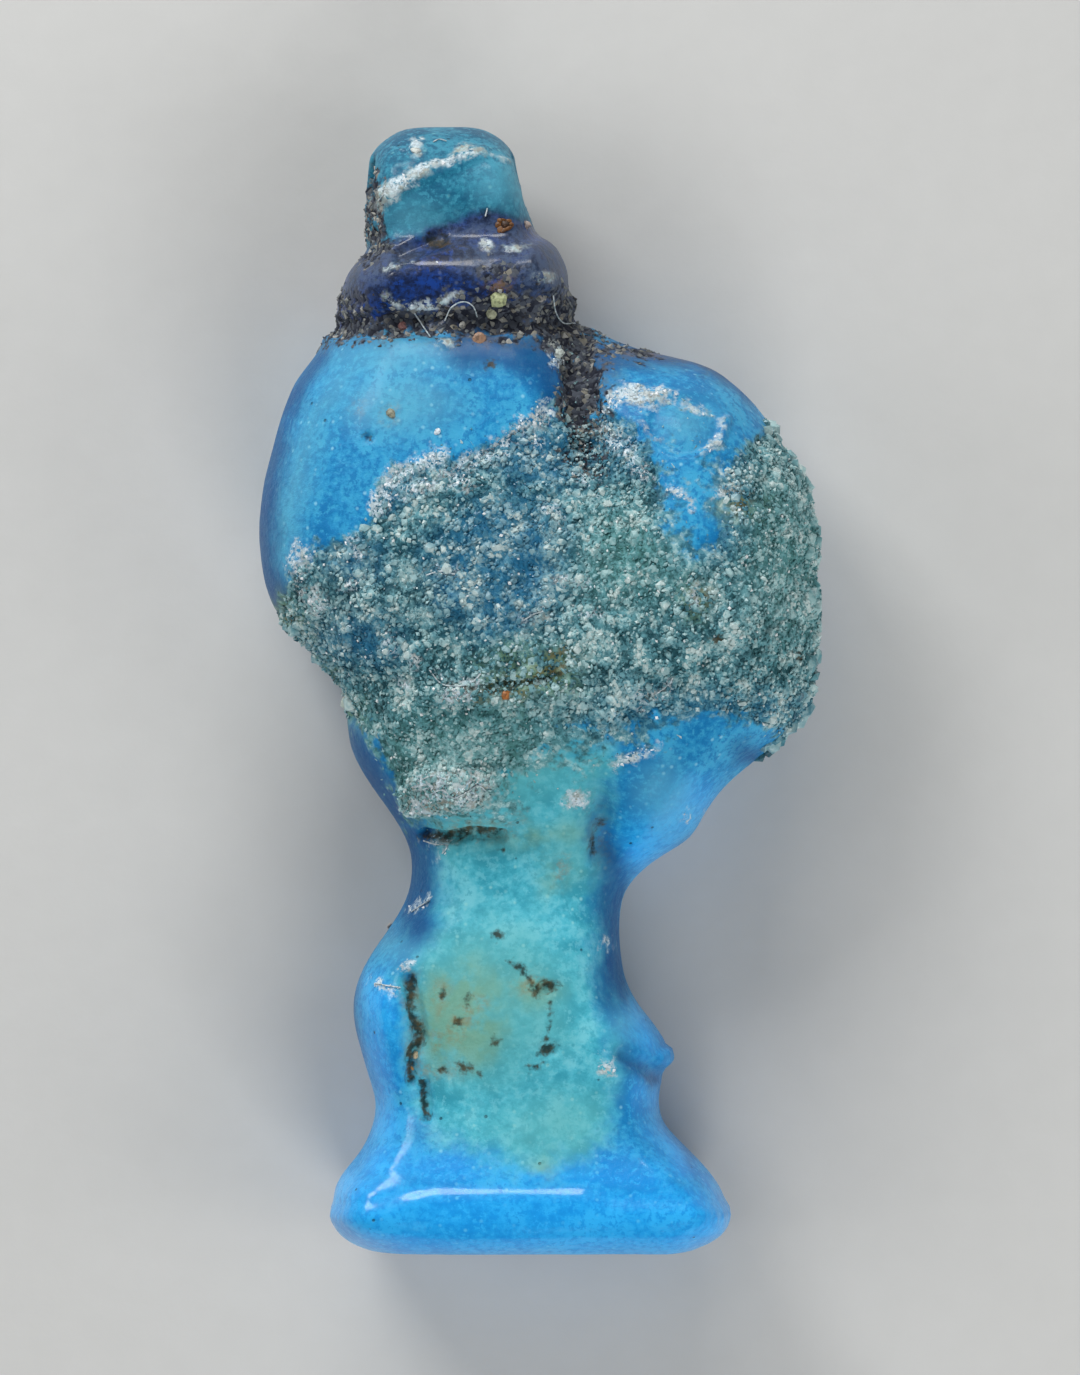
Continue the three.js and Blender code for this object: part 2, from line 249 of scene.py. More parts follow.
COVERINGS: dict[Zone, dict[str, tuple[Shape, ...]]] = {
    Zone.BARE: {"chest": (BARED_CORE,)},
    Zone.STRAY: {
        "seam": (Streak(((570, 372), (576, 410), (584, 452), (598, 480)), 0.3),),
        "core's lower edge": (Streak(((430, 830), (500, 790), (570, 752), (640, 738)), 0.45),),
        "right of the seam": (
            Streak(((560, 360), (586, 440), (620, 470)), 0.45),
            Streak(((620, 400), (700, 420), (700, 520)), 0.3),
        ),
        "right lobe's patch": (
            Streak(((646, 450), (664, 510), (706, 556), (724, 500), (740, 450)), 0.3),
        ),
        "left lobe's lower edge": (Streak(((380, 500), (450, 455), (548, 415)), 0.3),),
        "arm": (Streak(((640, 745), (740, 735), (800, 750)), 0.15),),
        "core's left edge": (Streak(((300, 590), (340, 545), (380, 520)), 0.25),),
        "left flank": (Streak(((366, 750), (400, 820), (440, 830)), 0.25),),
        "under the collar": (Streak(((330, 340), (450, 345), (540, 350)), 0.12),),
    },
    # Brighter sky-blue glaze, partly painted light: lighter colour on the plinth, the lower legs
    # and the right hip and leg, standing in for stronger light there.
    Zone.SKY_AND_PAINTED_LIGHT: {
        "plinth": (
            Streak(((330, 1210), (740, 1220)), 0.75),
            Streak(((380, 1160), (470, 1165), (650, 1170)), 0.35),
        ),
        "left leg": (Streak(((378, 1000), (380, 1120)), 0.35),),
        "right hip": (Streak(((640, 850), (690, 800)), 0.4),),
        "right leg": (
            Streak(((650, 1090), (680, 1160)), 0.3), Streak(((640, 1010), (650, 1050)), 0.2),
        ),
    },
    Zone.TURQUOISE: {"legs": (WEATHERED_LEGS,)},
    Zone.TEAL: {"loop": (LOOP_FRONT,)},
    Zone.COBALT: {
        "collar": (COLLAR,),
        "loop's foot": (Streak(((440, 248), (480, 240), (530, 250)), 0.3),),
    },
    Zone.DUSTY: {
        "collar's right end": (Patch((546, 276), 0.55, 0.5),),
        "collar's left end": (Streak(((340, 285), (372, 276)), 0.3),),
        "loop's foot": (Streak(((474, 232), (520, 236)), 0.16),),
        "right lobe's top": (
            Streak(((606, 352), (650, 352), (700, 358), (726, 374)), 0.14),
            Streak(((592, 350), (600, 390)), 0.22),
        ),
        "under the collar": (Streak(((322, 344), (420, 344), (540, 348)), 0.04),),
        "groin": (Patch((598, 832), 0.12, 0.32, 8),),
        "collar's face": (
            Streak(((380, 262), (410, 256)), 0.14), Streak(((478, 266), (524, 262)), 0.3),
            Streak(((436, 240), (470, 234), (520, 238)), 0.16),
            Streak(((388, 268), (408, 262)), 0.14), Streak(((404, 324), (540, 318)), 0.12),
        ),
    },
    Zone.SOIL: {
        "groove": (COLLAR_GROOVE,),
        "loop's left end": (Streak(((374, 184), (373, 215), (378, 250)), 0.12),),
        "collar": (
            Streak(((368, 262), (392, 252)), 0.05), Streak(((486, 284), (504, 278)), 0.12),
            Streak(((340, 300), (364, 314)), 0.1), Patch((392, 330), 0.14, 0.08),
        ),
        "right lobe's top": (Streak(((606, 350), (650, 352)), 0.06),),
        "seam's foot": (Streak(((570, 452), (590, 478)), 0.1),),
    },
    Zone.CRUST: {
        "left lobe's lower edge": (
            Streak(((384, 512), (398, 480), (420, 470), (446, 462)), 0.13),
            Streak(((440, 480), (482, 466), (514, 440), (548, 416)), 0.13),
            Streak(((404, 500), (440, 488), (470, 490)), 0.08),
            Streak(((512, 440), (540, 452)), 0.06),
        ),
        "loop": (
            Streak(((388, 200), (404, 188), (424, 176)), 0.03),
            Streak(((430, 170), (446, 167), (470, 160)), 0.02), Patch((416, 153), 0.05, 0.07),
        ),
        "collar": (
            Streak(((412, 314), (440, 308), (456, 302)), 0.01), Patch((490, 250), 0.05, 0.05),
        ),
        "core's left edge": (
            Streak(((300, 566), (306, 590), (326, 606)), 0.09),
            Streak(((354, 544), (364, 558)), 0.07), Streak(((346, 590), (366, 582)), 0.07),
            Streak(((304, 548), (312, 560)), 0.06),
        ),
        "right lobe": (
            Streak(((606, 410), (622, 398), (640, 400), (668, 400)), 0.1),
            Streak(((600, 430), (620, 450), (640, 480)), 0.1),
            Streak(((684, 406), (704, 414)), 0.02), Streak(((716, 446), (704, 458)), 0.01),
            Streak(((664, 496), (684, 506)), 0.05), Streak(((712, 500), (740, 494)), 0.05),
            Streak(((696, 590), (692, 612)), 0.03),
        ),
        # A painted highlight: the white line and blobs under the lip of the crease in the core.
        "painted highlight under the crease": (
            Streak(((434, 670), (446, 682), (466, 684), (482, 680)), 0.03),
            Patch((458, 694), 0.24, 0.16), Patch((404, 686), 0.12, 0.08),
        ),
        # The swollen edge is whitened partly by crust and partly by a painted highlight, the sheen
        # of the glossy lump.
        "swollen edge with painted sheen": (
            Streak(((420, 780), (446, 776)), 0.06),
            Streak(((432, 796), (452, 788), (466, 798), (484, 782), (492, 790)), 0.05),
            Streak(((408, 806), (430, 802)), 0.06), Patch((476, 782), 0.2, 0.16),
            Patch((444, 786), 0.26, 0.14), Streak(((424, 838), (446, 844), (440, 856)), 0.03),
        ),
        "lint on the core": (
            Streak(((430, 577), (458, 574)), 0.02), Streak(((516, 622), (542, 612)), 0.025),
        ),
        "arm": (
            Streak(((616, 762), (650, 748)), 0.07), Patch((575, 800), 0.14, 0.12),
            Streak(((640, 704), (664, 690)), 0.08),
        ),
        "single spots on the core": (
            Patch((392, 646), 0.12, 0.14), Patch((412, 664), 0.1, 0.06),
            Streak(((580, 480), (592, 492)), 0.07), Streak(((548, 514), (560, 518)), 0.06),
            Patch((572, 586), 0.2, 0.1), Patch((592, 614), 0.14, 0.1),
        ),
        "left leg": (
            Streak(((376, 980), (400, 984)), 0.025), Streak(((412, 910), (430, 898)), 0.02),
            Patch((408, 964), 0.09, 0.07),
        ),
        "other single spots": (
            Patch((603, 941), 0.06, 0.05), Patch((554, 512), 0.08, 0.05),
            Patch((558, 358), 0.1, 0.14, 20), Patch((606, 1060), 0.1, 0.1),
            Patch((689, 816), 0.07, 0.03),
        ),
    },
    Zone.FILM: {
        "loop": (
            Streak(((382, 207), (394, 198)), 0.12), Streak(((400, 193), (424, 177)), 0.1),
            Streak(((418, 175), (446, 167), (480, 158)), 0.05), Patch((462, 158), 0.2, 0.15, 10),
            Patch((416, 154), 0.09, 0.12), Streak(((484, 160), (508, 166)), 0.02),
        ),
        "collar": (
            Streak(((386, 300), (400, 310), (416, 315), (440, 310), (462, 300)), 0.04),
            # The next streak, from (386, 277) to (412, 266), is a painted highlight along the top
            # of the collar's roll.
            Streak(((386, 277), (412, 266)), 0.03), Patch((488, 250), 0.1, 0.09, -30),
            Patch((516, 254), 0.13, 0.06), Patch((540, 284), 0.1, 0.05),
        ),
        # Film on the swollen edge, partly a painted highlight of the glossy lump.
        "swollen edge with painted sheen": (Patch((452, 788), 0.7, 0.36), Patch((430, 806), 0.3, 0.12)),
        "core's left edge": (Patch((318, 598), 0.2, 0.15, -30), Patch((320, 614), 0.09, 0.09)),
        "right lobe": (
            Patch((644, 400), 0.38, 0.15, -5), Patch((696, 412), 0.22, 0.05, -20),
            Streak(((722, 424), (718, 440), (708, 454), (698, 460)), 0.03),
            Streak(((640, 430), (650, 439), (660, 443)), 0.03), Patch((596, 432), 0.2, 0.12),
        ),
        "core": (
            # The patches at (458, 694) and (404, 686) are a painted highlight under the crease in
            # the core; the rest is film.
            Patch((458, 694), 0.22, 0.13), Patch((404, 686), 0.1, 0.05),
            Patch((575, 798), 0.14, 0.12), Patch((728, 494), 0.22, 0.06),
            Streak(((694, 588), (692, 612)), 0.04), Patch((540, 622), 0.16, 0.05, 20),
        ),
        "under the collar": (Patch((445, 345), 0.12, 0.1),),
    },
    Zone.STAIN: {
        "left shin": (Patch((460, 1012), 0.72, 0.85, -10),),
        "groin": (Patch((556, 862), 0.22, 0.4, -15),),
        "core": (
            Patch((530, 674), 0.8, 0.45), Streak(((284, 614), (304, 660), (346, 716)), 0.26),
            Patch((736, 506), 0.36, 0.3),
        ),
        "shins": (Patch((530, 984), 0.34, 0.22), Patch((540, 836), 0.5, 0.16)),
        "core's right half": (Patch((694, 600), 0.26, 0.3),),
        "feet": (Patch((547, 1157), 0.1, 0.08),),
    },
    Zone.JUTTING: {
        "core's right rim": (
            Streak(((772, 430), (796, 462), (812, 500), (819, 560), (820, 610)), 0.2),
            Streak(((820, 600), (816, 660), (810, 712), (790, 738), (768, 756)), 0.2),
        ),
        "core's left rim": (Streak(((288, 622), (320, 676), (352, 704)), 0.1),),
    },
    # Deeper blue: pooled glaze, and painted shade where the surface turns away at the silhouettes,
    # under the collar and in the spur's groove.
    Zone.DEEP_AND_SHADE: {
        "legs' edges": (
            Streak(((612, 860), (614, 990)), 0.26), Streak(((414, 840), (416, 925)), 0.3),
            Streak(((354, 738), (396, 812)), 0.24), Streak(((672, 1090), (694, 1150)), 0.1),
        ),
        "left lobe": (
            Streak(((470, 350), (548, 362), (566, 430)), 0.34),
            Streak(((268, 440), (262, 560), (284, 624)), 0.3),
            Streak(((318, 362), (276, 420), (264, 500)), 0.22),
        ),
        "right lobe's top": (Streak(((600, 358), (700, 352), (750, 390)), 0.22),),
        "spur": (Streak(((622, 1054), (642, 1062), (656, 1080)), 0.12),),
        "arm": (Streak(((740, 750), (776, 768)), 0.14), Streak(((690, 850), (780, 780)), 0.12)),
        "left leg": (Streak(((350, 960), (346, 1110)), 0.12),),
    },
    # Paler glaze and core. The left lobe's top patch and the streak along its left rim are a
    # painted highlight, the sheen of the rounded lobe, and the swollen edge's patch is partly one
    # too.
    Zone.PALE_AND_HIGHLIGHT: {
        "left lobe's top": (Patch((396, 360), 1.3, 0.36, 4),),
        # Paler on the swollen edge, partly a painted highlight of the glossy lump.
        "swollen edge with painted sheen": (Patch((452, 788), 0.75, 0.4),),
        "core": (
            Patch((792, 500), 0.35, 0.5), Patch((770, 610), 0.5, 0.4), Patch((556, 690), 0.8, 0.3),
            Patch((436, 600), 0.5, 0.3), Patch((352, 590), 0.5, 0.5), Patch((470, 752), 0.8, 0.3),
            Patch((560, 560), 0.5, 0.4),
        ),
        "left lobe": (
            Streak(((372, 353), (323, 414), (311, 449), (288, 520), (290, 580)), 0.2),
            Patch((400, 410), 0.9, 0.5),
        ),
        "arm": (Patch((664, 796), 0.45, 0.55),),
        "right lobe": (Patch((686, 424), 0.4, 0.3),),
        "legs": (
            Streak(((390, 940), (430, 955)), 0.24), Streak(((620, 1020), (604, 1080)), 0.22),
            Patch((550, 1080), 0.9, 0.5), Patch((500, 900), 0.9, 0.5),
        ),
        "loop and collar": (
            Patch((505, 190), 0.4, 0.4), Patch((412, 222), 0.4, 0.26), Patch((540, 270), 0.4, 0.4),
        ),
    },
    Zone.BLUISH: {
        "core's upper half": (
            Patch((500, 565), 1.2, 1.1, 40), Patch((540, 460), 0.8, 0.55),
            Patch((700, 500), 0.64, 0.8),
        ),
        "core's left edge": (Patch((352, 560), 0.5, 0.36),),
        "left lobe's lower edge": (
            Streak(((394, 500), (430, 470), (476, 462), (512, 442), (546, 420)), 0.22),
        ),
        "arm": (Patch((690, 716), 1.2, 0.3),),
        "core's ends": (Patch((620, 440), 0.64, 0.5), Patch((360, 640), 0.6, 0.4)),
    },
    Zone.GREENISH: {
        "core": (
            Patch((470, 760), 1.6, 0.9), Patch((790, 560), 0.7, 1.3), Patch((620, 560), 0.8, 0.7),
        ),
        "legs": (
            Patch((490, 1000), 1.3, 1.3), Patch((445, 820), 0.8, 0.4), Patch((600, 820), 0.6, 0.9),
            Patch((560, 1120), 0.9, 0.5),
        ),
    },
    Zone.OCHRE: {
        "left shin": (
            Patch((462, 1018), 0.16, 0.34, -20), Patch((442, 992), 0.12, 0.2),
            Patch((440, 1032), 0.1, 0.14), Patch((480, 1000), 0.1, 0.1),
        ),
        "groin": (Patch((560, 868), 0.1, 0.2, -15), Streak(((452, 826), (510, 832)), 0.09)),
        "right lobe's patch": (Patch((734, 508), 0.26, 0.22),),
        "left lobe": (Patch((394, 419), 0.13, 0.14), Patch((361, 411), 0.08, 0.09)),
        "core": (
            Patch((428, 495), 0.14, 0.14), Streak(((480, 692), (520, 686), (562, 660)), 0.18),
            Streak(((284, 620), (300, 650)), 0.14),
        ),
        "legs": (
            Patch((532, 982), 0.24, 0.16), Patch((440, 1066), 0.3, 0.1),
            Streak(((410, 976), (420, 1030), (414, 1062)), 0.11), Patch((522, 820), 0.07, 0.05),
        ),
        "collar and lobes": (
            Patch((480, 342), 0.2, 0.1), Patch((499, 296), 0.2, 0.2), Patch((700, 600), 0.2, 0.2),
            Streak(((624, 352), (700, 350), (716, 366)), 0.07),
        ),
    },
    Zone.PIT: {
        "left lobe": (Patch((372, 443), 0.06, 0.06),),
        "right shin": (
            Patch((549, 982), 0.13, 0.1), Streak(((512, 958), (524, 966), (532, 980)), 0.035),
            Patch((534, 988), 0.07, 0.1), Patch((548, 1044), 0.13, 0.09, 30),
        ),
        "left shin": (
            Patch((495, 1036), 0.07, 0.06), Patch((466, 1062), 0.08, 0.07),
            Patch((446, 1066), 0.05, 0.05), Patch((480, 1066), 0.04, 0.04),
            Patch((444, 990), 0.04, 0.07), Patch((467, 994), 0.04, 0.06),
            Patch((460, 1018), 0.06, 0.07),
        ),
        "knees and groin": (
            Patch((536, 1062), 0.09, 0.03, 20), Patch((499, 932), 0.08, 0.07),
            Patch((600, 822), 0.05, 0.07), Patch((594, 846), 0.05, 0.1),
        ),
        "core": (Patch((796, 658), 0.12, 0.1), Patch((716, 642), 0.1, 0.08)),
        "collar and lobe": (Patch((490, 370), 0.09, 0.07), Patch((437, 244), 0.2, 0.1)),
        "cracks": (
            Patch((503, 849), 0.04, 0.03),
            Streak(((420, 838), (446, 837), (474, 831), (500, 834)), 0.04),
            Streak(((410, 976), (416, 1006), (422, 1034), (414, 1048), (412, 1074)), 0.06),
            Streak(((424, 1078), (428, 1110)), 0.05),
            # This dark line along the crease in the core is painted shade under the crease's lip.
            Streak(((452, 686), (500, 690), (548, 680), (574, 664)), 0.035),
            Streak(((548, 1000), (546, 1036)), 0.015),
        ),
    },
}


@dataclass(frozen=True)
class Relief:
    """A form that stands out of the skin or is cut into it, with its flank's width."""

    shape: Shape
    rise: float
    flank: float

    def height(self, at: Array) -> Array:
        """How far the form moves the skin out at each place, in millimetres."""
        return self.rise * smooth_step(self.shape.inside(at) / self.flank + 1)


RELIEFS: tuple[Relief, ...] = (
    Relief(Streak(((424, 834), (446, 837), (474, 831), (502, 834)), 0.03), -0.16, 0.10),
    Relief(
        Streak(((410, 976), (418, 1006), (422, 1034), (414, 1050), (413, 1076)), 0.05), -0.14, 0.10
    ),
    Relief(Streak(((426, 1080), (429, 1112)), 0.03), -0.1, 0.08),
    Relief(Streak(((484, 686), (548, 680)), 0.02), -0.1, 0.07),
    Relief(Streak(((622, 1050), (642, 1060), (656, 1074)), 0.05), -0.1, 0.14),
    Relief(Streak(((420, 792), (486, 790)), 0.22), 0.12, 0.26),
    Relief(Streak(((430, 696), (484, 696)), 0.08), 0.08, 0.16),
    Relief(Patch((546, 984), 0.10, 0.08), -0.09, 0.08),
    Relief(Patch((550, 1044), 0.10, 0.08), -0.08, 0.08),
    Relief(Patch((372, 443), 0.05, 0.05), -0.07, 0.05),
    Relief(Patch((600, 828), 0.08, 0.26), -0.1, 0.19),
    Relief(Patch((682, 430), 0.5, 0.42), -0.07, 0.14),
    Relief(Streak(((724, 424), (716, 446), (698, 458)), 0.03), 0.05, 0.06),
    Relief(Streak(((384, 200), (430, 180), (480, 158)), 0.06), 0.05, 0.13),
    Relief(Patch((546, 270), 0.22, 0.29), 0.1, 0.26),
    Relief(Streak(((404, 262), (440, 244)), 0.06), -0.1, 0.13),
    Relief(Streak(((576, 330), (580, 380), (584, 440)), 0.13), -0.16, 0.19),
    Relief(Streak(((340, 330), (420, 330), (520, 326), (574, 318)), 0.10), -0.12, 0.16),
    Relief(Patch((667, 1057), 0.08, 0.06), 0.1, 0.13),
    Relief(PLINTH_FACE, 0.09, 0.27),
    Relief(Streak(((376, 1198), (398, 1200)), 0.1), 0.1, 0.5),
)


def smooth_step(share: Array) -> Array:
    """Eases shares from 0 to 1, and holds them there outside."""
    held = np.clip(share, 0, 1)
    return held * held * (3 - 2 * held)


@dataclass(frozen=True)
class RandomSpace:
    """Smooth random values in space, the same on each run."""

    seed: int = 7

    def _hashed(self, cell: Array) -> Array:
        """A random share for each whole cell, given as rows of three."""
        primes = np.array([73856093, 19349663, 83492791], np.int64)
        mixed = (cell.astype(np.int64) * primes).sum(axis=-1) + self.seed * 2654435761
        mixed = (mixed ^ (mixed >> 15)) * 1274126177 & 0x7FFFFFFFFFFF
        return ((mixed ^ (mixed >> 16)) & 0xFFFF) / 65535

    def smooth(self, at: Array, size: float) -> Array:
        """Smooth noise about zero.

        Args:
            at: places as rows of x, y and z.
            size: the size of its lumps, in millimetres.

        Returns:
            One value from -1 to 1 for each place.
        """
        scaled = at / size
        base = np.floor(scaled)
        share = smooth_step(scaled - base)
        total = np.zeros(len(at))
        for corner in np.ndindex(2, 2, 2):
            weight = np.prod(np.where(corner, share, 1 - share), axis=1)
            total += weight * self._hashed(base + corner)
        return total * 2 - 1

    def fractal(self, at: Array, size: float, octaves: int = 3) -> Array:
        """Noise of several sizes, each half as large and half as strong as the last."""
        layers = [self.smooth(at + 17 * i, size / 2**i) / 2**i for i in range(octaves)]
        return np.sum(layers, axis=0)

    def cells(self, at: Array, size: float) -> Array:
        """Rounded grains.

        Args:
            at: places as rows of x, y and z.
            size: the size of a grain, in millimetres.

        Returns:
            1 in the middle of a grain, down to about 0 where grains meet, for each place.
        """
        scaled = at / size
        base = np.floor(scaled)
        nearest = np.full(len(at), np.inf)
        for corner in np.ndindex(3, 3, 3):
            cell = base + corner - 1
            centre = cell + np.stack([self._hashed(cell + 101 * i) for i in range(3)], axis=1)
            nearest = np.minimum(nearest, np.linalg.norm(scaled - centre, axis=1))
        return 1 - np.clip(nearest, 0, 1)


@dataclass
class Box:
    """The CAD model's box, which the dressed part stays in, in millimetres."""

    low: Array
    high: Array
    slack: float = 1e-5

    def hold(self, at: Array) -> Array:
        """Moves places that lie outside the box onto its sides."""
        return np.clip(at, self.low + self.slack, self.high - self.slack)


def coordinates(mesh: bpy.types.Mesh) -> Array:
    """The places of a mesh's vertices as rows of x, y and z."""
    flat = np.empty(len(mesh.vertices) * 3)
    mesh.vertices.foreach_get("co", flat)
    return flat.reshape(-1, 3)


def normals(mesh: bpy.types.Mesh) -> Array:
    """The outward directions of a mesh's vertices as rows of x, y and z."""
    flat = np.empty(len(mesh.vertices) * 3, np.float32)
    mesh.vertex_normals.foreach_get("vector", flat)
    return flat.reshape(-1, 3)


def set_coordinates(mesh: bpy.types.Mesh, at: Array) -> None:
    """Moves a mesh's vertices to the given places."""
    mesh.vertices.foreach_set("co", at.astype(np.float32).ravel())
    mesh.update()


def set_attribute(mesh: bpy.types.Mesh, name: str, values: Array) -> None:
    """Stores one number on each of a mesh's vertices under a name."""
    stored = mesh.attributes.new(name, "FLOAT", "POINT")
    stored.data.foreach_set("value", values.astype(np.float32))


def link(name: str, mesh: bpy.types.Mesh) -> bpy.types.Object:
    """Puts a mesh in the scene as an object of the same name, at the origin."""
    mesh.name = name
    made = bpy.data.objects.new(name, mesh)
    bpy.context.scene.collection.objects.link(made)
    return made


def evaluated(obj: bpy.types.Object) -> bpy.types.Mesh:
    """The plain mesh that an object's modifiers make, with the object itself taken away."""
    graph = bpy.context.evaluated_depsgraph_get()
    made = bpy.data.meshes.new_from_object(obj.evaluated_get(graph))
    bpy.data.objects.remove(obj)
    return made


@dataclass
class Skin:
    """The whole surface of the amulet, from the solid's form down to its pits and rough breaks.

    Its mesh is worked in millimetres, and the finished piece is in metres.
    """

    box: Box
    weld: float = 1e-4
    voxel: float = 0.105
    rounding_steps: int = 6
    front_steps: int = 2
    front_tilt: float = 0.12
    front_level: float = 0.6
    front_fade: float = 0.9
    edge_wander: float = 0.35
    edge_wander_size: float = 0.9
    outline_wander: float = 0.05
    outline_wander_size: float = 0.5
    whole_zones: tuple[Zone, ...] = (Zone.TEAL, Zone.COBALT, Zone.SKY_AND_PAINTED_LIGHT)
    soft_zones: tuple[Zone, ...] = (Zone.DEEP_AND_SHADE, Zone.PALE_AND_HIGHLIGHT, Zone.GREENISH, Zone.DUSTY, Zone.TURQUOISE)
    soft_end: float = 1.1
    sharp_end: float = 6.0
    grain_size: float = 0.15
    grain_rise: float = 0.06
    core_edge: float = 0.12
    soil_edge: float = 0.1
    soil_grain: float = 0.8
    crust_edge: float = 0.06
    crust_lump_size: float = 0.09
    lump_size: float = 0.45
    lump_rise: float = 0.09
    core_sink: float = 0.05
    soft_borders: tuple[Streak, ...] = (
        Streak(((430, 832), (492, 800), (560, 756), (640, 738)), 0.6),
        Streak(((690, 450), (694, 540)), 0.5),
        Streak(((560, 410), (600, 470)), 0.4),
    )
    soft_border_fade: float = 0.3
    soft_border_share: float = 0.7
    crust_rise: float = 0.035
    glaze_wave_size: float = 1.1
    glaze_wave: float = 0.02
    noise: RandomSpace = field(default_factory=RandomSpace)

    def build(self) -> bpy.types.Mesh:
        """Makes the mesh in millimetres, with its relief and its zones.

        Returns:
            A mesh with an attribute for each zone.
        """
        mesh = self._fine_front(self._rounded_solid())
        at, out = coordinates(mesh), normals(mesh)
        zones = self._zones(at, out)
        moved = at + out * self._relief(at, zones)[:, None]
        set_coordinates(mesh, self.box.hold(moved))
        for zone, values in zones.items():
            set_attribute(mesh, zone.value, values)
        mesh.shade_smooth()
        return mesh

    def _rounded_solid(self) -> bpy.types.Mesh:
        """The CAD solid with its facets smoothed over, as even quads."""
        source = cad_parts[NODE].data.copy()
        source.transform(Matrix.Scale(1 / MM, 4))
        shell = bmesh.new()
        shell.from_mesh(source)
        bmesh.ops.remove_doubles(shell, verts=shell.verts, dist=self.weld)
        shell.to_mesh(source)
        shell.free()
        solid = link("rounded_solid", source)
        remesh = solid.modifiers.new("even", "REMESH")
        remesh.mode = "VOXEL"
        remesh.voxel_size = self.voxel
        smooth = solid.modifiers.new("smooth", "SMOOTH")
        smooth.iterations = self.rounding_steps
        return evaluated(solid)

    def _fine_front(self, mesh: bpy.types.Mesh) -> bpy.types.Mesh:
        """Splits each face of the front in four, and smooths the result."""
        shell = bmesh.new()
        shell.from_mesh(mesh)
        shell.normal_update()
        front = {f for f in shell.faces if self._is_front(f)}
        edges = [e for e in shell.edges if all(f in front for f in e.link_faces)]
        bmesh.ops.subdivide_edges(shell, edges=edges, cuts=1, use_grid_fill=True)
        bmesh.ops.triangulate(shell, faces=[f for f in shell.faces if len(f.verts) > 4])
        shell.to_mesh(mesh)
        shell.free()
        fine = link("fine_front", mesh)
        smooth = fine.modifiers.new("smooth", "SMOOTH")
        smooth.iterations = self.front_steps
        return evaluated(fine)

    def _is_front(self, face: bmesh.types.BMFace) -> bool:
        """Whether a face looks up at the viewer."""
        raised = face.calc_center_median().z > self.front_level
        return face.normal.z > self.front_tilt and raised

    def _zones(self, at: Array, out: Array) -> dict[Zone, Array]:
        """How far inside each zone every vertex is.

        Args:
            at: the vertices' places.
            out: the vertices' outward directions, which are not used.

        Returns:
            For each zone, distances in millimetres from -1 outside to 1 inside.
        """
        flat = at[:, :2]
        size = self.outline_wander_size
        wander = np.stack([self.noise.fractal(at + 40 * i, size) for i in range(2)], axis=1)
        moved = flat + self.outline_wander * wander
        lifted = self.noise.fractal(at + 90, self.edge_wander_size)
        level = at[:, 2] + self.edge_wander * lifted
        hidden = 1 - smooth_step((level - self.front_level) / self.front_fade)
        zones = {}
        for zone, features in COVERINGS.items():
            shapes = [shape for feature in features.values() for shape in feature]
            reach = np.max([shape.inside(moved) for shape in shapes], axis=0)
            if zone in self.soft_zones:
                reach = reach - self.soft_end * hidden
            elif zone not in self.whole_zones:
                reach = reach - self.sharp_end * hidden
            zones[zone] = np.clip(reach, -1, 1)
        for border in self.soft_borders:
            near = smooth_step(border.inside(flat) / self.soft_border_fade + 0.5)
            zones[Zone.BARE] *= 1 - self.soft_border_share * near
        return zones

    def _relief(self, at: Array, zones: dict[Zone, Array]) -> Array:
        """How far each vertex moves out of the rounded solid.

        Args:
            at: the vertices' places.
            zones: how far inside each zone they are.

        Returns:
            One distance in millimetres for each vertex.
        """
        flat = at[:, :2]
        seen = smooth_step((at[:, 2] - self.front_level) / self.front_fade)
        bare = smooth_step(zones[Zone.BARE] / self.core_edge + 0.5)
        salts = np.maximum(zones[Zone.CRUST], zones[Zone.FILM])
        crust = smooth_step(salts / self.crust_edge + 0.7)
        soil = smooth_step(zones[Zone.SOIL] / self.soil_edge + 0.5)
        rough = np.maximum(bare, self.soil_grain * soil)
        grains = self.noise.cells(at, self.grain_size) - 0.5
        lumps = self.noise.fractal(at, self.lump_size)
        moved = rough * (self.grain_rise * grains + self.lump_rise * lumps)
        moved -= bare * self.core_sink
        moved += crust * self.crust_rise * (0.6 + self.noise.smooth(at, self.crust_lump_size))
        glazed = 1 - rough
        moved += glazed * self.glaze_wave * self.noise.fractal(at, self.glaze_wave_size, 2)
        forms = np.sum([relief.height(flat) for relief in RELIEFS], axis=0)
        return moved + seen * forms


@dataclass(frozen=True)
class Border:
    """How a covering's edge runs: its raggedness and softness, in millimetres."""

    ragged: float
    ragged_size: float
    soft: float


BORDERS: dict[Zone, Border] = {
    Zone.BARE: Border(0.4, 0.22, 0.08),
    Zone.SKY_AND_PAINTED_LIGHT: Border(0.2, 0.5, 0.4),
    Zone.TURQUOISE: Border(0.45, 0.45, 0.36),
    Zone.TEAL: Border(0.1, 0.2, 0.12),
    Zone.COBALT: Border(0.1, 0.2, 0.1),
    Zone.DUSTY: Border(0.2, 0.25, 0.25),
    Zone.SOIL: Border(0.6, 0.22, 0.09),
    Zone.CRUST: Border(0.3, 0.2, 0.08),
    Zone.FILM: Border(0.1, 0.12, 0.06),
    Zone.STAIN: Border(0.25, 0.4, 0.3),
    Zone.DEEP_AND_SHADE: Border(0.15, 0.5, 0.22),
    Zone.PALE_AND_HIGHLIGHT: Border(0.15, 0.5, 0.35),
    Zone.BLUISH: Border(0.3, 0.5, 0.5),
    Zone.GREENISH: Border(0.3, 0.5, 0.6),
    Zone.OCHRE: Border(0.16, 0.2, 0.14),
    Zone.PIT: Border(0.13, 0.1, 0.05),
}


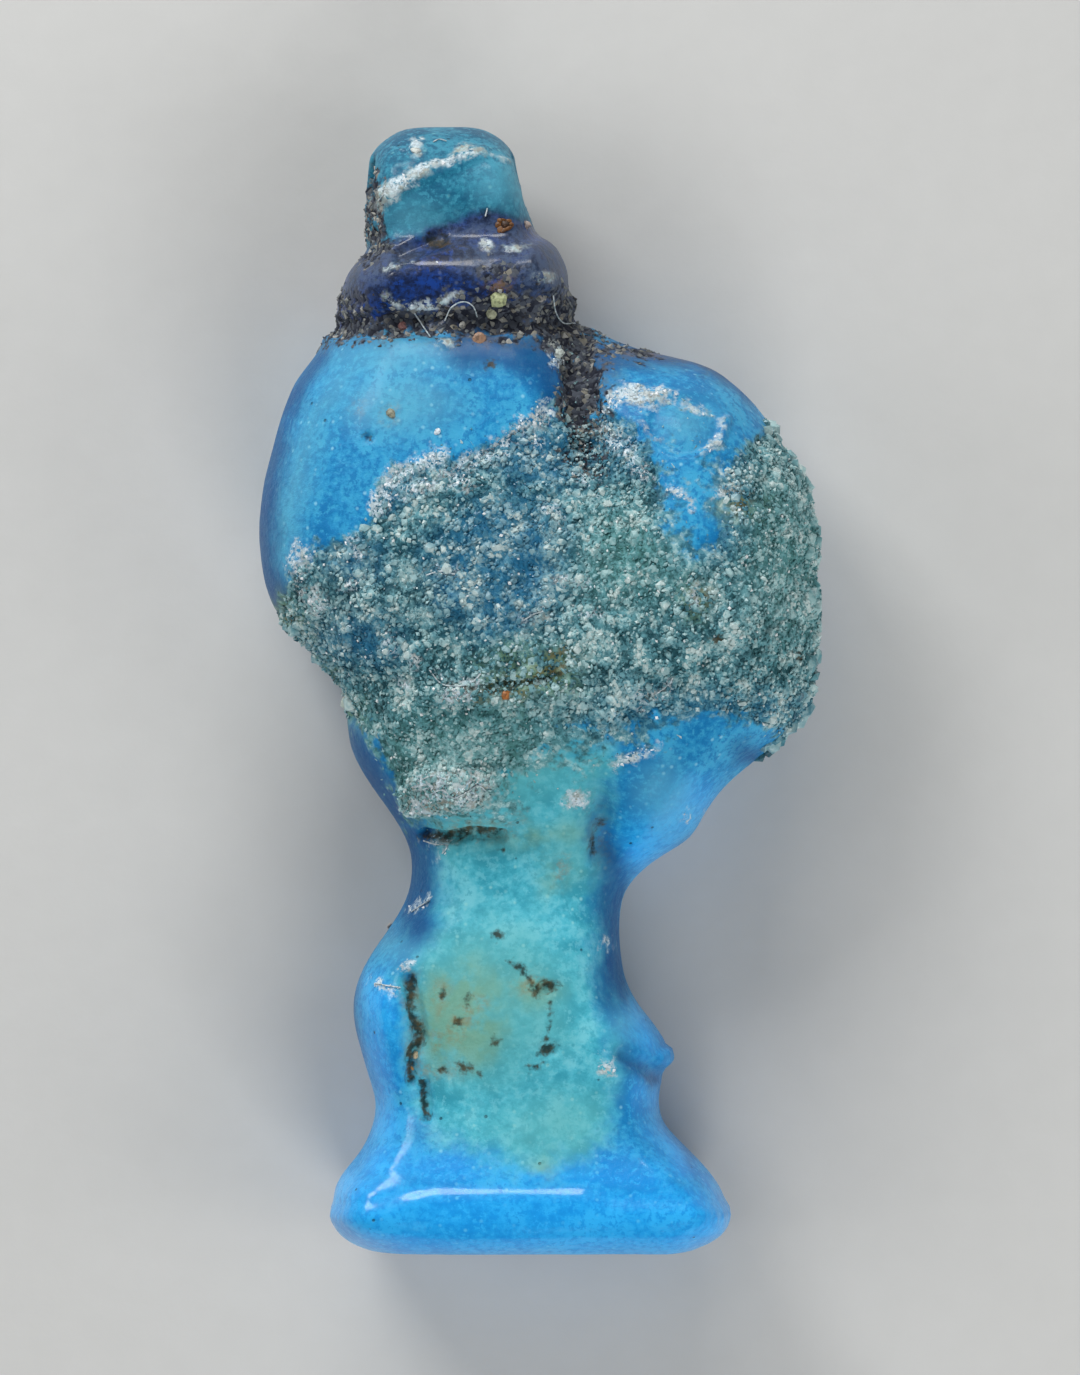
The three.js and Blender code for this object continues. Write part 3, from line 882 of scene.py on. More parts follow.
class Val:
    """A shader socket that Python's operators work on."""

    def __init__(self, book: "NodeBook", socket: bpy.types.NodeSocket) -> None:
        """Keeps the socket and the book that its nodes are made in."""
        self.book = book
        self.socket = socket

    def _math(self, operation: str, *operands: "Number") -> "Val":
        """Adds a Math node."""
        return self.book.node(
            "ShaderNodeMath", {"operation": operation}, dict(enumerate(operands))
        )

    def __add__(self, other: "Number") -> "Val":
        """self + other."""
        return self._math("ADD", self, other)

    def __radd__(self, other: "Number") -> "Val":
        """other + self."""
        return self._math("ADD", other, self)

    def __sub__(self, other: "Number") -> "Val":
        """self - other."""
        return self._math("SUBTRACT", self, other)

    def __rsub__(self, other: "Number") -> "Val":
        """other - self."""
        return self._math("SUBTRACT", other, self)

    def __mul__(self, other: "Number") -> "Val":
        """self * other."""
        return self._math("MULTIPLY", self, other)

    def __rmul__(self, other: "Number") -> "Val":
        """other * self."""
        return self._math("MULTIPLY", other, self)

    def held(self) -> "Val":
        """The value kept between 0 and 1."""
        return self.between(0.0, 1.0)

    def between(self, low: float, high: float) -> "Val":
        """0 at low, 1 at high, eased between them and held outside."""
        return self.book.node(
            "ShaderNodeMapRange",
            {"interpolation_type": "SMOOTHSTEP"},
            {"Value": self, "From Min": low, "From Max": high},
        )


Number = Union[float, Val]


class NodeBook:
    """A material and the nodes that are written into it."""

    def __init__(self, name: str) -> None:
        """Starts an empty material of that name."""
        self.material = bpy.data.materials.new(name)
        self.material.use_nodes = True
        self.tree = self.material.node_tree
        self.tree.nodes.clear()
        self.known: dict[tuple, "Val"] = {}
        coordinates_out = self.node("ShaderNodeTexCoord", output="Object")
        self.place = self.node(
            "ShaderNodeVectorMath",
            {"operation": "SCALE"},
            {"Vector": coordinates_out, "Scale": 1 / MM},
        )

    def node(
        self,
        kind: str,
        settings: dict[str, Any] | None = None,
        inputs: dict[Any, Any] | None = None,
        output: Any = 0,
    ) -> Val:
        """Adds a node.

        Args:
            kind: the node's type.
            settings: its properties, such as a Math node's operation, which are set first.
            inputs: the values or links of its sockets, by identifier, name or number.
            output: the name, identifier or number of the socket that is returned.

        Returns:
            The wrapped output socket.
        """
        made = self.tree.nodes.new(kind)
        for key, value in (settings or {}).items():
            setattr(made, key, value)
        for key, value in (inputs or {}).items():
            socket = self._socket(made.inputs, key)
            if isinstance(value, Val):
                self.tree.links.new(value.socket, socket)
            elif isinstance(value, tuple) and socket.type == "RGBA":
                socket.default_value = (*value, 1.0)
            else:
                socket.default_value = value
        return Val(self, self._socket(made.outputs, output) if made.outputs else None)

    @staticmethod
    def _socket(sockets: Any, key: Any) -> bpy.types.NodeSocket:
        """Finds a socket by its number, identifier or name."""
        if isinstance(key, int):
            return sockets[key]
        by_identifier = [s for s in sockets if s.identifier == key]
        return (by_identifier or [s for s in sockets if s.name == key and s.enabled])[0]

    def attribute(self, name: str) -> Val:
        """Reads a number that is stored on the mesh."""
        return self.node("ShaderNodeAttribute", {"attribute_name": name}, output="Fac")

    def noise(
        self, size: float, detail: float = 2.0, shift: float = 0.0, rough: float = 0.55
    ) -> Val:
        """Smooth noise.

        Args:
            size: the size of its lumps, in millimetres.
            detail: how many finer layers it has.
            shift: moves it, so that two noises of one size differ.
            rough: how strong the finer layers are.

        Returns:
            A value from about 0 to 1.
        """
        key = ("noise", size, detail, shift, rough)
        if key in self.known:
            return self.known[key]
        place = self.place
        if shift:
            place = self.node(
                "ShaderNodeVectorMath", {"operation": "ADD"}, {0: place, 1: (shift,) * 3}
            )
        inputs = {"Vector": place, "Scale": 1 / size, "Detail": detail, "Roughness": rough}
        self.known[key] = self.node("ShaderNodeTexNoise", None, inputs, "Fac")
        return self.known[key]

    def fine_noise(self, size: float) -> Val:
        """The harsher noise that grains share, of a size in millimetres."""
        return self.noise(size, detail=4.0, shift=5.0, rough=0.7)

    def cells(self, size: float, output: str = "Distance") -> Val:
        """The way to the middle of random cells of a size in millimetres, or another output."""
        key = ("cells", size, output)
        if key not in self.known:
            inputs = {"Vector": self.place, "Scale": 1 / size}
            self.known[key] = self.node("ShaderNodeTexVoronoi", None, inputs, output)
        return self.known[key]

    def cell_share(self, size: float) -> Val:
        """A random share for each cell of a size in millimetres."""
        colour = self.cells(size, "Color")
        return self.node("ShaderNodeSeparateColor", None, {"Color": colour}, "Red")

    def blend(self, under: Any, over: Any, share: Number, how: str = "MIX") -> Val:
        """Lays one colour over another.

        Args:
            under: the colour where the share is 0.
            over: the colour where the share is 1.
            share: how much of the upper colour shows.
            how: the Mix node's blend type.

        Returns:
            The mixed colour.
        """
        return self.node(
            "ShaderNodeMix",
            {"data_type": "RGBA", "blend_type": how, "clamp_factor": True},
            {"Factor_Float": share, "A_Color": under, "B_Color": over},
            "Result_Color",
        )

    def spot(self, zone: Zone, border: Border | None = None) -> Val:
        """Where a covering lies, with its edge broken up.

        Args:
            zone: the covering.
            border: how its edge runs, where it isn't as BORDERS says.

        Returns:
            A mask from 0 to 1.
        """
        border = border or BORDERS[zone]
        ragged = (self.noise(border.ragged_size, 3.0) - 0.5) * (2 * border.ragged)
        inside = self.attribute(zone.value) + ragged
        return inside.between(-border.soft, border.soft)

    def finish(
        self, look: "Look", bump: float, constants: dict[str, Any] | None = None
    ) -> bpy.types.Material:
        """Joins a look to the material's shader.

        Args:
            look: what changes over the surface.
            bump: how many millimetres high a relief of 1 is.
            constants: values of the shader's own sockets that are the same all over.

        Returns:
            The finished material.
        """
        normal = self.node(
            "ShaderNodeBump",
            None,
            {"Height": look.relief, "Distance": bump * MM, "Strength": 1.0},
        )
        inputs = {
            "Base Color": look.colour,
            "Roughness": look.rough,
            "Coat Weight": look.coat,
            "Normal": normal,
            **(constants or {}),
        }
        shader = self.node("ShaderNodeBsdfPrincipled", None, inputs)
        self.node("ShaderNodeOutputMaterial", None, {"Surface": shader})
        return self.material


@dataclass
class Look:
    """What changes over a surface: its colour, roughness, coat and fine relief."""

    colour: Any
    rough: Any
    coat: Any
    relief: Any

    def covered(self, book: NodeBook, mask: Val, cover: "Look") -> "Look":
        """Lays another look over this one where a mask says so.

        Args:
            book: where the nodes are made.
            mask: 1 where the cover hides this look.
            cover: the look on top.

        Returns:
            The look of both together.
        """
        under = 1 - mask
        return Look(
            book.blend(self.colour, cover.colour, mask),
            under * self.rough + mask * cover.rough,
            under * self.coat + mask * cover.coat,
            under * self.relief + mask * cover.relief,
        )


@dataclass(frozen=True)
class Glaze:
    """A glassy glaze in three shades of one colour, with pale flecks and dark specks in it."""

    middle: Colour
    dark: Colour
    light: Colour
    fleck: Colour
    rough: float
    coat: float
    mottle: float = 0.9
    grain: float = 0.11
    grainy: float = 0.8
    fleck_size: float = 0.13
    hole: Colour = (0.008, 0.05, 0.09)
    hole_gap: float = 0.36
    dark_to_middle: Span = (0.36, 0.50)
    middle_to_light: Span = (0.48, 0.64)
    dark_grains: Span = (0.50, 0.60)
    light_grains: Span = (0.48, 0.38)
    fleck_reach: Span = (0.08, 0.34)
    pale_flecks: Span = (0.66, 1.0)
    dark_flecks: Span = (0.12, 0.0)
    hole_reach: Span = (0.04, 0.09)
    hole_chance: Span = (0.50, 0.60)
    fleck_share: float = 0.8
    speck_share: float = 0.9
    hole_share: float = 0.75
    rough_change: float = 0.25
    wave_size: float = 0.32
    wave_height: float = 0.5
    grain_height: float = 0.7
    hole_depth: float = 0.8

    def look(self, book: NodeBook) -> Look:
        """Writes the glaze's nodes."""
        broad = book.noise(self.mottle, detail=5.0, rough=0.62)
        fine = book.fine_noise(self.grain)
        shade = book.blend(self.dark, self.middle, broad.between(*self.dark_to_middle))
        shade = book.blend(shade, self.light, broad.between(*self.middle_to_light))
        shade = book.blend(shade, self.dark, fine.between(*self.dark_grains) * self.grainy)
        shade = book.blend(shade, self.light, fine.between(*self.light_grains) * self.grainy)
        dots = 1 - book.cells(self.fleck_size).between(*self.fleck_reach)
        chance = book.cell_share(self.fleck_size)
        flecks = dots * chance.between(*self.pale_flecks) * self.fleck_share
        specks = dots * chance.between(*self.dark_flecks) * self.speck_share
        shade = book.blend(shade, self.fleck, flecks)
        shade = book.blend(shade, self.dark, specks)
        holes = 1 - book.cells(self.hole_gap).between(*self.hole_reach)
        holes = holes * book.cell_share(self.hole_gap).between(*self.hole_chance)
        shade = book.blend(shade, self.hole, holes * self.hole_share)
        rough = self.rough + self.rough_change * fine
        relief = self.wave_height * book.noise(self.wave_size) + self.grain_height * fine
        return Look(shade, rough, self.coat, relief - self.hole_depth * holes)


BRIGHT_GLAZE = Glaze(
    middle=(0.020, 0.27, 0.55), dark=(0.008, 0.18, 0.44), light=(0.045, 0.36, 0.62),
    fleck=(0.26, 0.60, 0.78), rough=0.36, coat=0.08,
)
# Lighter than the other glazes partly as painted light on the plinth, the lower legs and the right
# side.
SKY_AND_PAINTED_LIGHT_GLAZE = Glaze(
    middle=(0.014, 0.37, 0.86), dark=(0.008, 0.30, 0.78), light=(0.030, 0.45, 0.94),
    fleck=(0.10, 0.55, 0.94), rough=0.3, coat=0.55,
)
TURQUOISE_GLAZE = Glaze(
    middle=(0.075, 0.46, 0.58), dark=(0.035, 0.32, 0.43), light=(0.17, 0.58, 0.68),
    fleck=(0.28, 0.66, 0.68), rough=0.42, coat=0.05, mottle=0.6, grain=0.15, grainy=0.55,
)
TEAL_GLAZE = Glaze(
    middle=(0.018, 0.17, 0.27), dark=(0.008, 0.10, 0.19), light=(0.045, 0.27, 0.39),
    fleck=(0.14, 0.40, 0.46), rough=0.36, coat=0.15,
)
COBALT_GLAZE = Glaze(
    middle=(0.010, 0.028, 0.11), dark=(0.006, 0.012, 0.04), light=(0.010, 0.050, 0.26),
    fleck=(0.10, 0.14, 0.26), rough=0.2, coat=0.6, mottle=0.5,
)


@dataclass(frozen=True)
class BaredCore:
    """Crushed quartz that lies bare: pale and dark grains, tinted by the copper of the glaze."""

    dark: Colour = (0.022, 0.088, 0.11)
    middle: Colour = (0.11, 0.295, 0.34)
    pale: Colour = (0.38, 0.58, 0.59)
    # Near white for the palest grains: white quartz, and painted glints on single grains.
    white_and_glint: Colour = (0.62, 0.74, 0.72)
    blue: Colour = (0.020, 0.17, 0.34)
    green: Colour = (0.15, 0.42, 0.38)
    grain: float = 0.1
    rough: float = 0.45
    lowest_tone: float = 0.12
    tone_range: float = 0.72
    unevenness: float = 2.0
    uneven_size: float = 0.42
    dark_to_middle: Span = (0.0, 0.45)
    middle_to_pale: Span = (0.45, 0.9)
    pale_to_white_and_glint: Span = (0.90, 1.0)
    pale_and_highlight_border: Border = Border(0.3, 0.5, 0.4)
    blue_share: float = 0.75
    blue_lost_on_pale: float = 0.4
    green_share: float = 0.42
    green_lost_on_pale: float = 0.3
    pale_and_highlight_share: float = 0.6
    white_and_glint_share: float = 0.8
    fine_size: float = 0.11
    fine_span: Span = (0.58, 0.42)
    fine_share: float = 0.4
    cell_share: float = 0.4

    def tinted(self, book: NodeBook, tone: Val) -> Val:
        """The colour of grains of a given tone, with the tint of their place.

        Args:
            book: where the nodes are made.
            tone: from 0 for a dark grain to 1 for a pale one.

        Returns:
            The colour.
        """
        uneven = book.noise(self.uneven_size, detail=4.0, shift=7.0, rough=0.65) - 0.5
        tone = self.lowest_tone + self.tone_range * tone + uneven * self.unevenness
        tone = tone.held()
        shade = book.blend(self.dark, self.middle, tone.between(*self.dark_to_middle))
        shade = book.blend(shade, self.pale, tone.between(*self.middle_to_pale))
        blue = book.spot(Zone.BLUISH)
        green = book.spot(Zone.GREENISH)
        blue = blue * (self.blue_share - self.blue_lost_on_pale * tone)
        green = green * (self.green_share - self.green_lost_on_pale * tone)
        shade = book.blend(shade, self.blue, blue)
        shade = book.blend(shade, self.green, green)
        # The paler core, partly a painted highlight on the swollen edge.
        pale = book.spot(Zone.PALE_AND_HIGHLIGHT, self.pale_and_highlight_border)
        shade = book.blend(shade, self.pale, pale * tone * self.pale_and_highlight_share)
        # The palest grains turn near white: white quartz, and painted glints.
        white_and_glint = tone.between(*self.pale_to_white_and_glint) * self.white_and_glint_share
        return book.blend(shade, self.white_and_glint, white_and_glint)

    def look(self, book: NodeBook) -> Look:
        """Writes the nodes of the skin between the loose grains."""
        fine = book.fine_noise(self.fine_size)
        tone = book.cell_share(self.grain) * self.cell_share
        tone = tone + fine.between(*self.fine_span) * self.fine_share
        colour = self.tinted(book, tone)
        relief = 0.7 - book.cells(self.grain) + fine
        return Look(colour, self.rough, 0.0, relief)


@dataclass(frozen=True)
class Soil:
    """Burial soil in the hollows: near black, blue-grey and tan grains."""

    dark: Colour = (0.020, 0.023, 0.035)
    middle: Colour = (0.080, 0.092, 0.115)
    pale: Colour = (0.28, 0.26, 0.20)
    grain: float = 0.08
    rough: float = 0.8
    dark_to_middle: Span = (0.2, 0.8)
    pale_grains: Span = (0.86, 1.0)
    pale_and_highlight_share: float = 0.8

    def look(self, book: NodeBook) -> Look:
        """Writes the soil's nodes."""
        tone = book.cell_share(self.grain)
        colour = book.blend(self.dark, self.middle, tone.between(*self.dark_to_middle))
        pale = tone.between(*self.pale_grains) * self.pale_and_highlight_share
        colour = book.blend(colour, self.pale, pale)
        return Look(colour, self.rough, 0.0, 0.8 - book.cells(self.grain))


@dataclass(frozen=True)
class Crust:
    """A broken film of pale salts along the edges of the glaze."""

    pale: Colour = (0.60, 0.72, 0.78)
    tan: Colour = (0.42, 0.42, 0.36)
    rough: float = 0.4
    coat: float = 0.2
    tan_size: float = 0.3
    tan_span: Span = (0.46, 0.7)
    tan_share: float = 0.7
    crystal: float = 0.06

    def look(self, book: NodeBook) -> Look:
        """Writes the crust's nodes."""
        tone = book.noise(self.tan_size, detail=3.0, shift=11.0)
        colour = book.blend(self.pale, self.tan, tone.between(*self.tan_span) * self.tan_share)
        return Look(colour, self.rough, self.coat, book.cells(self.crystal))


@dataclass(frozen=True)
class Film:
    """A thin continuous film of lime and dust on the worn glaze."""

    pale: Colour = (0.58, 0.66, 0.68)
    tan: Colour = (0.30, 0.30, 0.25)
    thin: Colour = (0.44, 0.62, 0.64)
    rough: float = 0.45
    coat: float = 0.15
    tan_size: float = 0.24
    tan_span: Span = (0.44, 0.54)
    tan_share: float = 0.9
    thin_size: float = 0.07
    thin_span: Span = (0.46, 0.62)
    thin_share: float = 0.8

    def look(self, book: NodeBook) -> Look:
        """Writes the film's nodes."""
        tone = book.noise(self.tan_size, detail=3.0, shift=13.0)
        fine = book.noise(self.thin_size, detail=3.0, shift=2.0, rough=0.7)
        colour = book.blend(self.pale, self.tan, tone.between(*self.tan_span) * self.tan_share)
        colour = book.blend(colour, self.thin, fine.between(*self.thin_span) * self.thin_share)
        return Look(colour, self.rough, self.coat, 0.6 + fine)


@dataclass(frozen=True)
class SkinFinish:
    """The amulet's whole surface: each covering laid over the last."""

    # The deeper blue: pooled glaze, and painted shade at the silhouettes and in grooves.
    deep_and_shade: Colour = (0.004, 0.07, 0.22)
    # The paler glaze, partly a painted highlight on the left lobe's top and rim.
    pale: Colour = (0.12, 0.42, 0.55)
    green: Colour = (0.11, 0.40, 0.40)
    stain: Colour = (0.20, 0.33, 0.15)
    ochre: Colour = (0.28, 0.17, 0.05)
    dust: Colour = (0.065, 0.095, 0.15)
    pit: Colour = (0.014, 0.018, 0.012)
    bump: float = 0.03
    coat_rough: float = 0.15
    specular: float = 0.18
    blotch_span: Span = (0.38, 0.62)
    cloud_span: Span = (0.36, 0.58)
    thick_span: Span = (0.38, 0.50)
    lace_span: Span = (0.40, 0.52)
    stain_share: Span = (0.15, 0.4)
    ochre_share: float = 0.5
    film_share: float = 0.9
    pit_share: float = 0.9
    rust_share: float = 0.2
    pale_and_highlight_share: float = 0.5
    green_share: float = 0.6
    deep_and_shade_share: float = 0.85
    deep_and_shade_lost_on_turquoise: float = 0.4
    dust_share: Span = (0.25, 0.6)
    dust_size: float = 0.11
    dust_span: Span = (0.60, 0.42)

    def material(self) -> bpy.types.Material:
        """Writes the material."""
        book = NodeBook("glazed_skin")
        look = self._glazes(book)
        bare = book.spot(Zone.BARE)
        look = look.covered(book, bare, BaredCore().look(book))
        ochre = book.spot(Zone.OCHRE)
        blotches = book.noise(0.16, detail=3.0, shift=3.0, rough=0.7).between(*self.blotch_span)
        stain = book.spot(Zone.STAIN)
        cloud = book.noise(0.5, detail=4.0, shift=21.0, rough=0.6).between(*self.cloud_span)
        even, cloudy = self.stain_share
        look.colour = book.blend(look.colour, self.stain, stain * (even + cloudy * cloud))
        look.colour = book.blend(look.colour, self.ochre, ochre * blotches * self.ochre_share)
        soil = book.spot(Zone.SOIL)
        look = look.covered(book, soil, Soil().look(book))
        thick = book.noise(0.2, detail=4.0, shift=9.0, rough=0.65).between(*self.thick_span)
        film = book.spot(Zone.FILM) * thick
        look = look.covered(book, film * self.film_share, Film().look(book))
        lace = book.noise(0.07, detail=3.0, shift=2.0, rough=0.7).between(*self.lace_span)
        crust = book.spot(Zone.CRUST) * lace
        look = look.covered(book, crust, Crust().look(book))
        pits = book.spot(Zone.PIT)
        burnt = book.blend(self.pit, self.ochre, blotches * self.rust_share)
        look.colour = book.blend(look.colour, burnt, pits * self.pit_share)
        look.coat = look.coat * (1 - pits)
        constants = {"Coat Roughness": self.coat_rough, "Specular IOR Level": self.specular}
        return book.finish(look, self.bump, constants)

    def _glazes(self, book: NodeBook) -> Look:
        """Lays the glazes' colours side by side, with their deeper stretches, which are pooled
        glaze and painted shade, and their paler stretches, which are partly a painted highlight.
        """
        look = BRIGHT_GLAZE.look(book)
        pale = book.spot(Zone.PALE_AND_HIGHLIGHT)
        deep_and_shade = book.spot(Zone.DEEP_AND_SHADE)
        sky_and_painted_light = book.spot(Zone.SKY_AND_PAINTED_LIGHT)
        turquoise = book.spot(Zone.TURQUOISE)
        greenish = book.spot(Zone.GREENISH)
        teal = book.spot(Zone.TEAL)
        cobalt = book.spot(Zone.COBALT)
        # The sky-blue glaze, partly painted light.
        look = look.covered(book, sky_and_painted_light, SKY_AND_PAINTED_LIGHT_GLAZE.look(book))
        look = look.covered(book, teal, TEAL_GLAZE.look(book))
        # Paler glaze, partly a painted highlight.
        look.colour = book.blend(look.colour, self.pale, pale * self.pale_and_highlight_share)
        look = look.covered(book, turquoise, TURQUOISE_GLAZE.look(book))
        greenish = turquoise * greenish * self.green_share
        look.colour = book.blend(look.colour, self.green, greenish)
        # Deeper blue, pooled glaze and painted shade, weaker on the turquoise.
        deep_and_shade = deep_and_shade * (1 - self.deep_and_shade_lost_on_turquoise * turquoise) * self.deep_and_shade_share
        look.colour = book.blend(look.colour, self.deep_and_shade, deep_and_shade)
        look = look.covered(book, cobalt, COBALT_GLAZE.look(book))
        dusty = book.spot(Zone.DUSTY)
        specks = book.fine_noise(self.dust_size).between(*self.dust_span)
        even, speckled = self.dust_share
        dust = Look(self.dust, 0.6, 0.1, look.relief)
        return look.covered(book, dusty * (even + speckled * specks), dust)


@dataclass(frozen=True)
class GrainFinish:
    """Loose grains: each takes its tone from its own random number."""

    name: str
    core: BaredCore | None = None
    shades: tuple[Colour, ...] = ()
    rough: float = 0.25
    shadow: float = 0.25
    shadow_size: float = 0.05
    relief_size: float = 0.04
    bump: float = 0.006

    def material(self) -> bpy.types.Material:
        """Writes the material."""
        book = NodeBook(self.name)
        tone = book.attribute("tone")
        if self.core:
            colour = self.core.tinted(book, tone)
        else:
            colour = self.shades[0]
            steps = len(self.shades) - 1
            for i, shade in enumerate(self.shades[1:]):
                share = tone.between((i + 0.4) / steps, (i + 0.6) / steps)
                colour = book.blend(colour, shade, share)
        shadow = book.noise(self.shadow_size) * self.shadow
        colour = book.blend(colour, (0.0, 0.0, 0.0), shadow)
        look = Look(colour, self.rough + 0.3 * tone, 0.0, book.noise(self.relief_size))
        return book.finish(look, self.bump)


class GeometryTree:
    """A Geometry Nodes tree whose nodes have names of their own."""

    def __init__(self, name: str, numbers: Sequence[str], wholes: Sequence[str] = ()) -> None:
        """Starts a tree.

        Args:
            name: the tree's name.
            numbers: the names of its inputs that are numbers with fractions.
            wholes: the names of its inputs that are whole numbers.
        """
        self.tree = bpy.data.node_groups.new(name, "GeometryNodeTree")
        self.made: dict[str, bpy.types.Node] = {}
        face = self.tree.interface
        face.new_socket("Geometry", in_out="INPUT", socket_type="NodeSocketGeometry")
        for number in numbers:
            face.new_socket(number, in_out="INPUT", socket_type="NodeSocketFloat")
        for whole in wholes:
            face.new_socket(whole, in_out="INPUT", socket_type="NodeSocketInt")
        face.new_socket("Finish", in_out="INPUT", socket_type="NodeSocketMaterial")
        face.new_socket("Geometry", in_out="OUTPUT", socket_type="NodeSocketGeometry")
        self.add("in", "NodeGroupInput")
        self.add("out", "NodeGroupOutput")

    def add(
        self, name: str, kind: str, inputs: dict[Any, Any] | None = None, **settings: Any
    ) -> None:
        """Adds a node.

        Args:
            name: what the tree's own links call it.
            kind: the node's type.
            inputs: the values of its sockets, by name or number.
            settings: its properties.
        """
        node = self.tree.nodes.new(kind)
        for key, value in settings.items():
            setattr(node, key, value)
        for key, value in (inputs or {}).items():
            node.inputs[key].default_value = value
        self.made[name] = node

    def wire(self, *links: tuple[str, Any, str, Any]) -> None:
        """Joins nodes: each link is a node and its output, then a node and its input."""
        for start, output, end, entry in links:
            left, right = self.made[start].outputs, self.made[end].inputs
            self.tree.links.new(left[output], right[entry])

    def apply(self, obj: bpy.types.Object, values: dict[str, Any]) -> bpy.types.Mesh:
        """Runs the tree on an object.

        Args:
            obj: the object, which is used up.
            values: what each of the tree's inputs is set to.

        Returns:
            The plain mesh that comes out.
        """
        modifier = obj.modifiers.new("made", "NODES")
        modifier.node_group = self.tree
        for item in self.tree.interface.items_tree:
            if item.name in values and item.in_out == "INPUT":
                modifier[item.identifier] = values[item.name]
        return evaluated(obj)


class Chip(Enum):
    """The form of a strewn grain. The value is how far its corners are knocked about, in mm."""

    LUMP = 0.1
    SHARD = 0.0


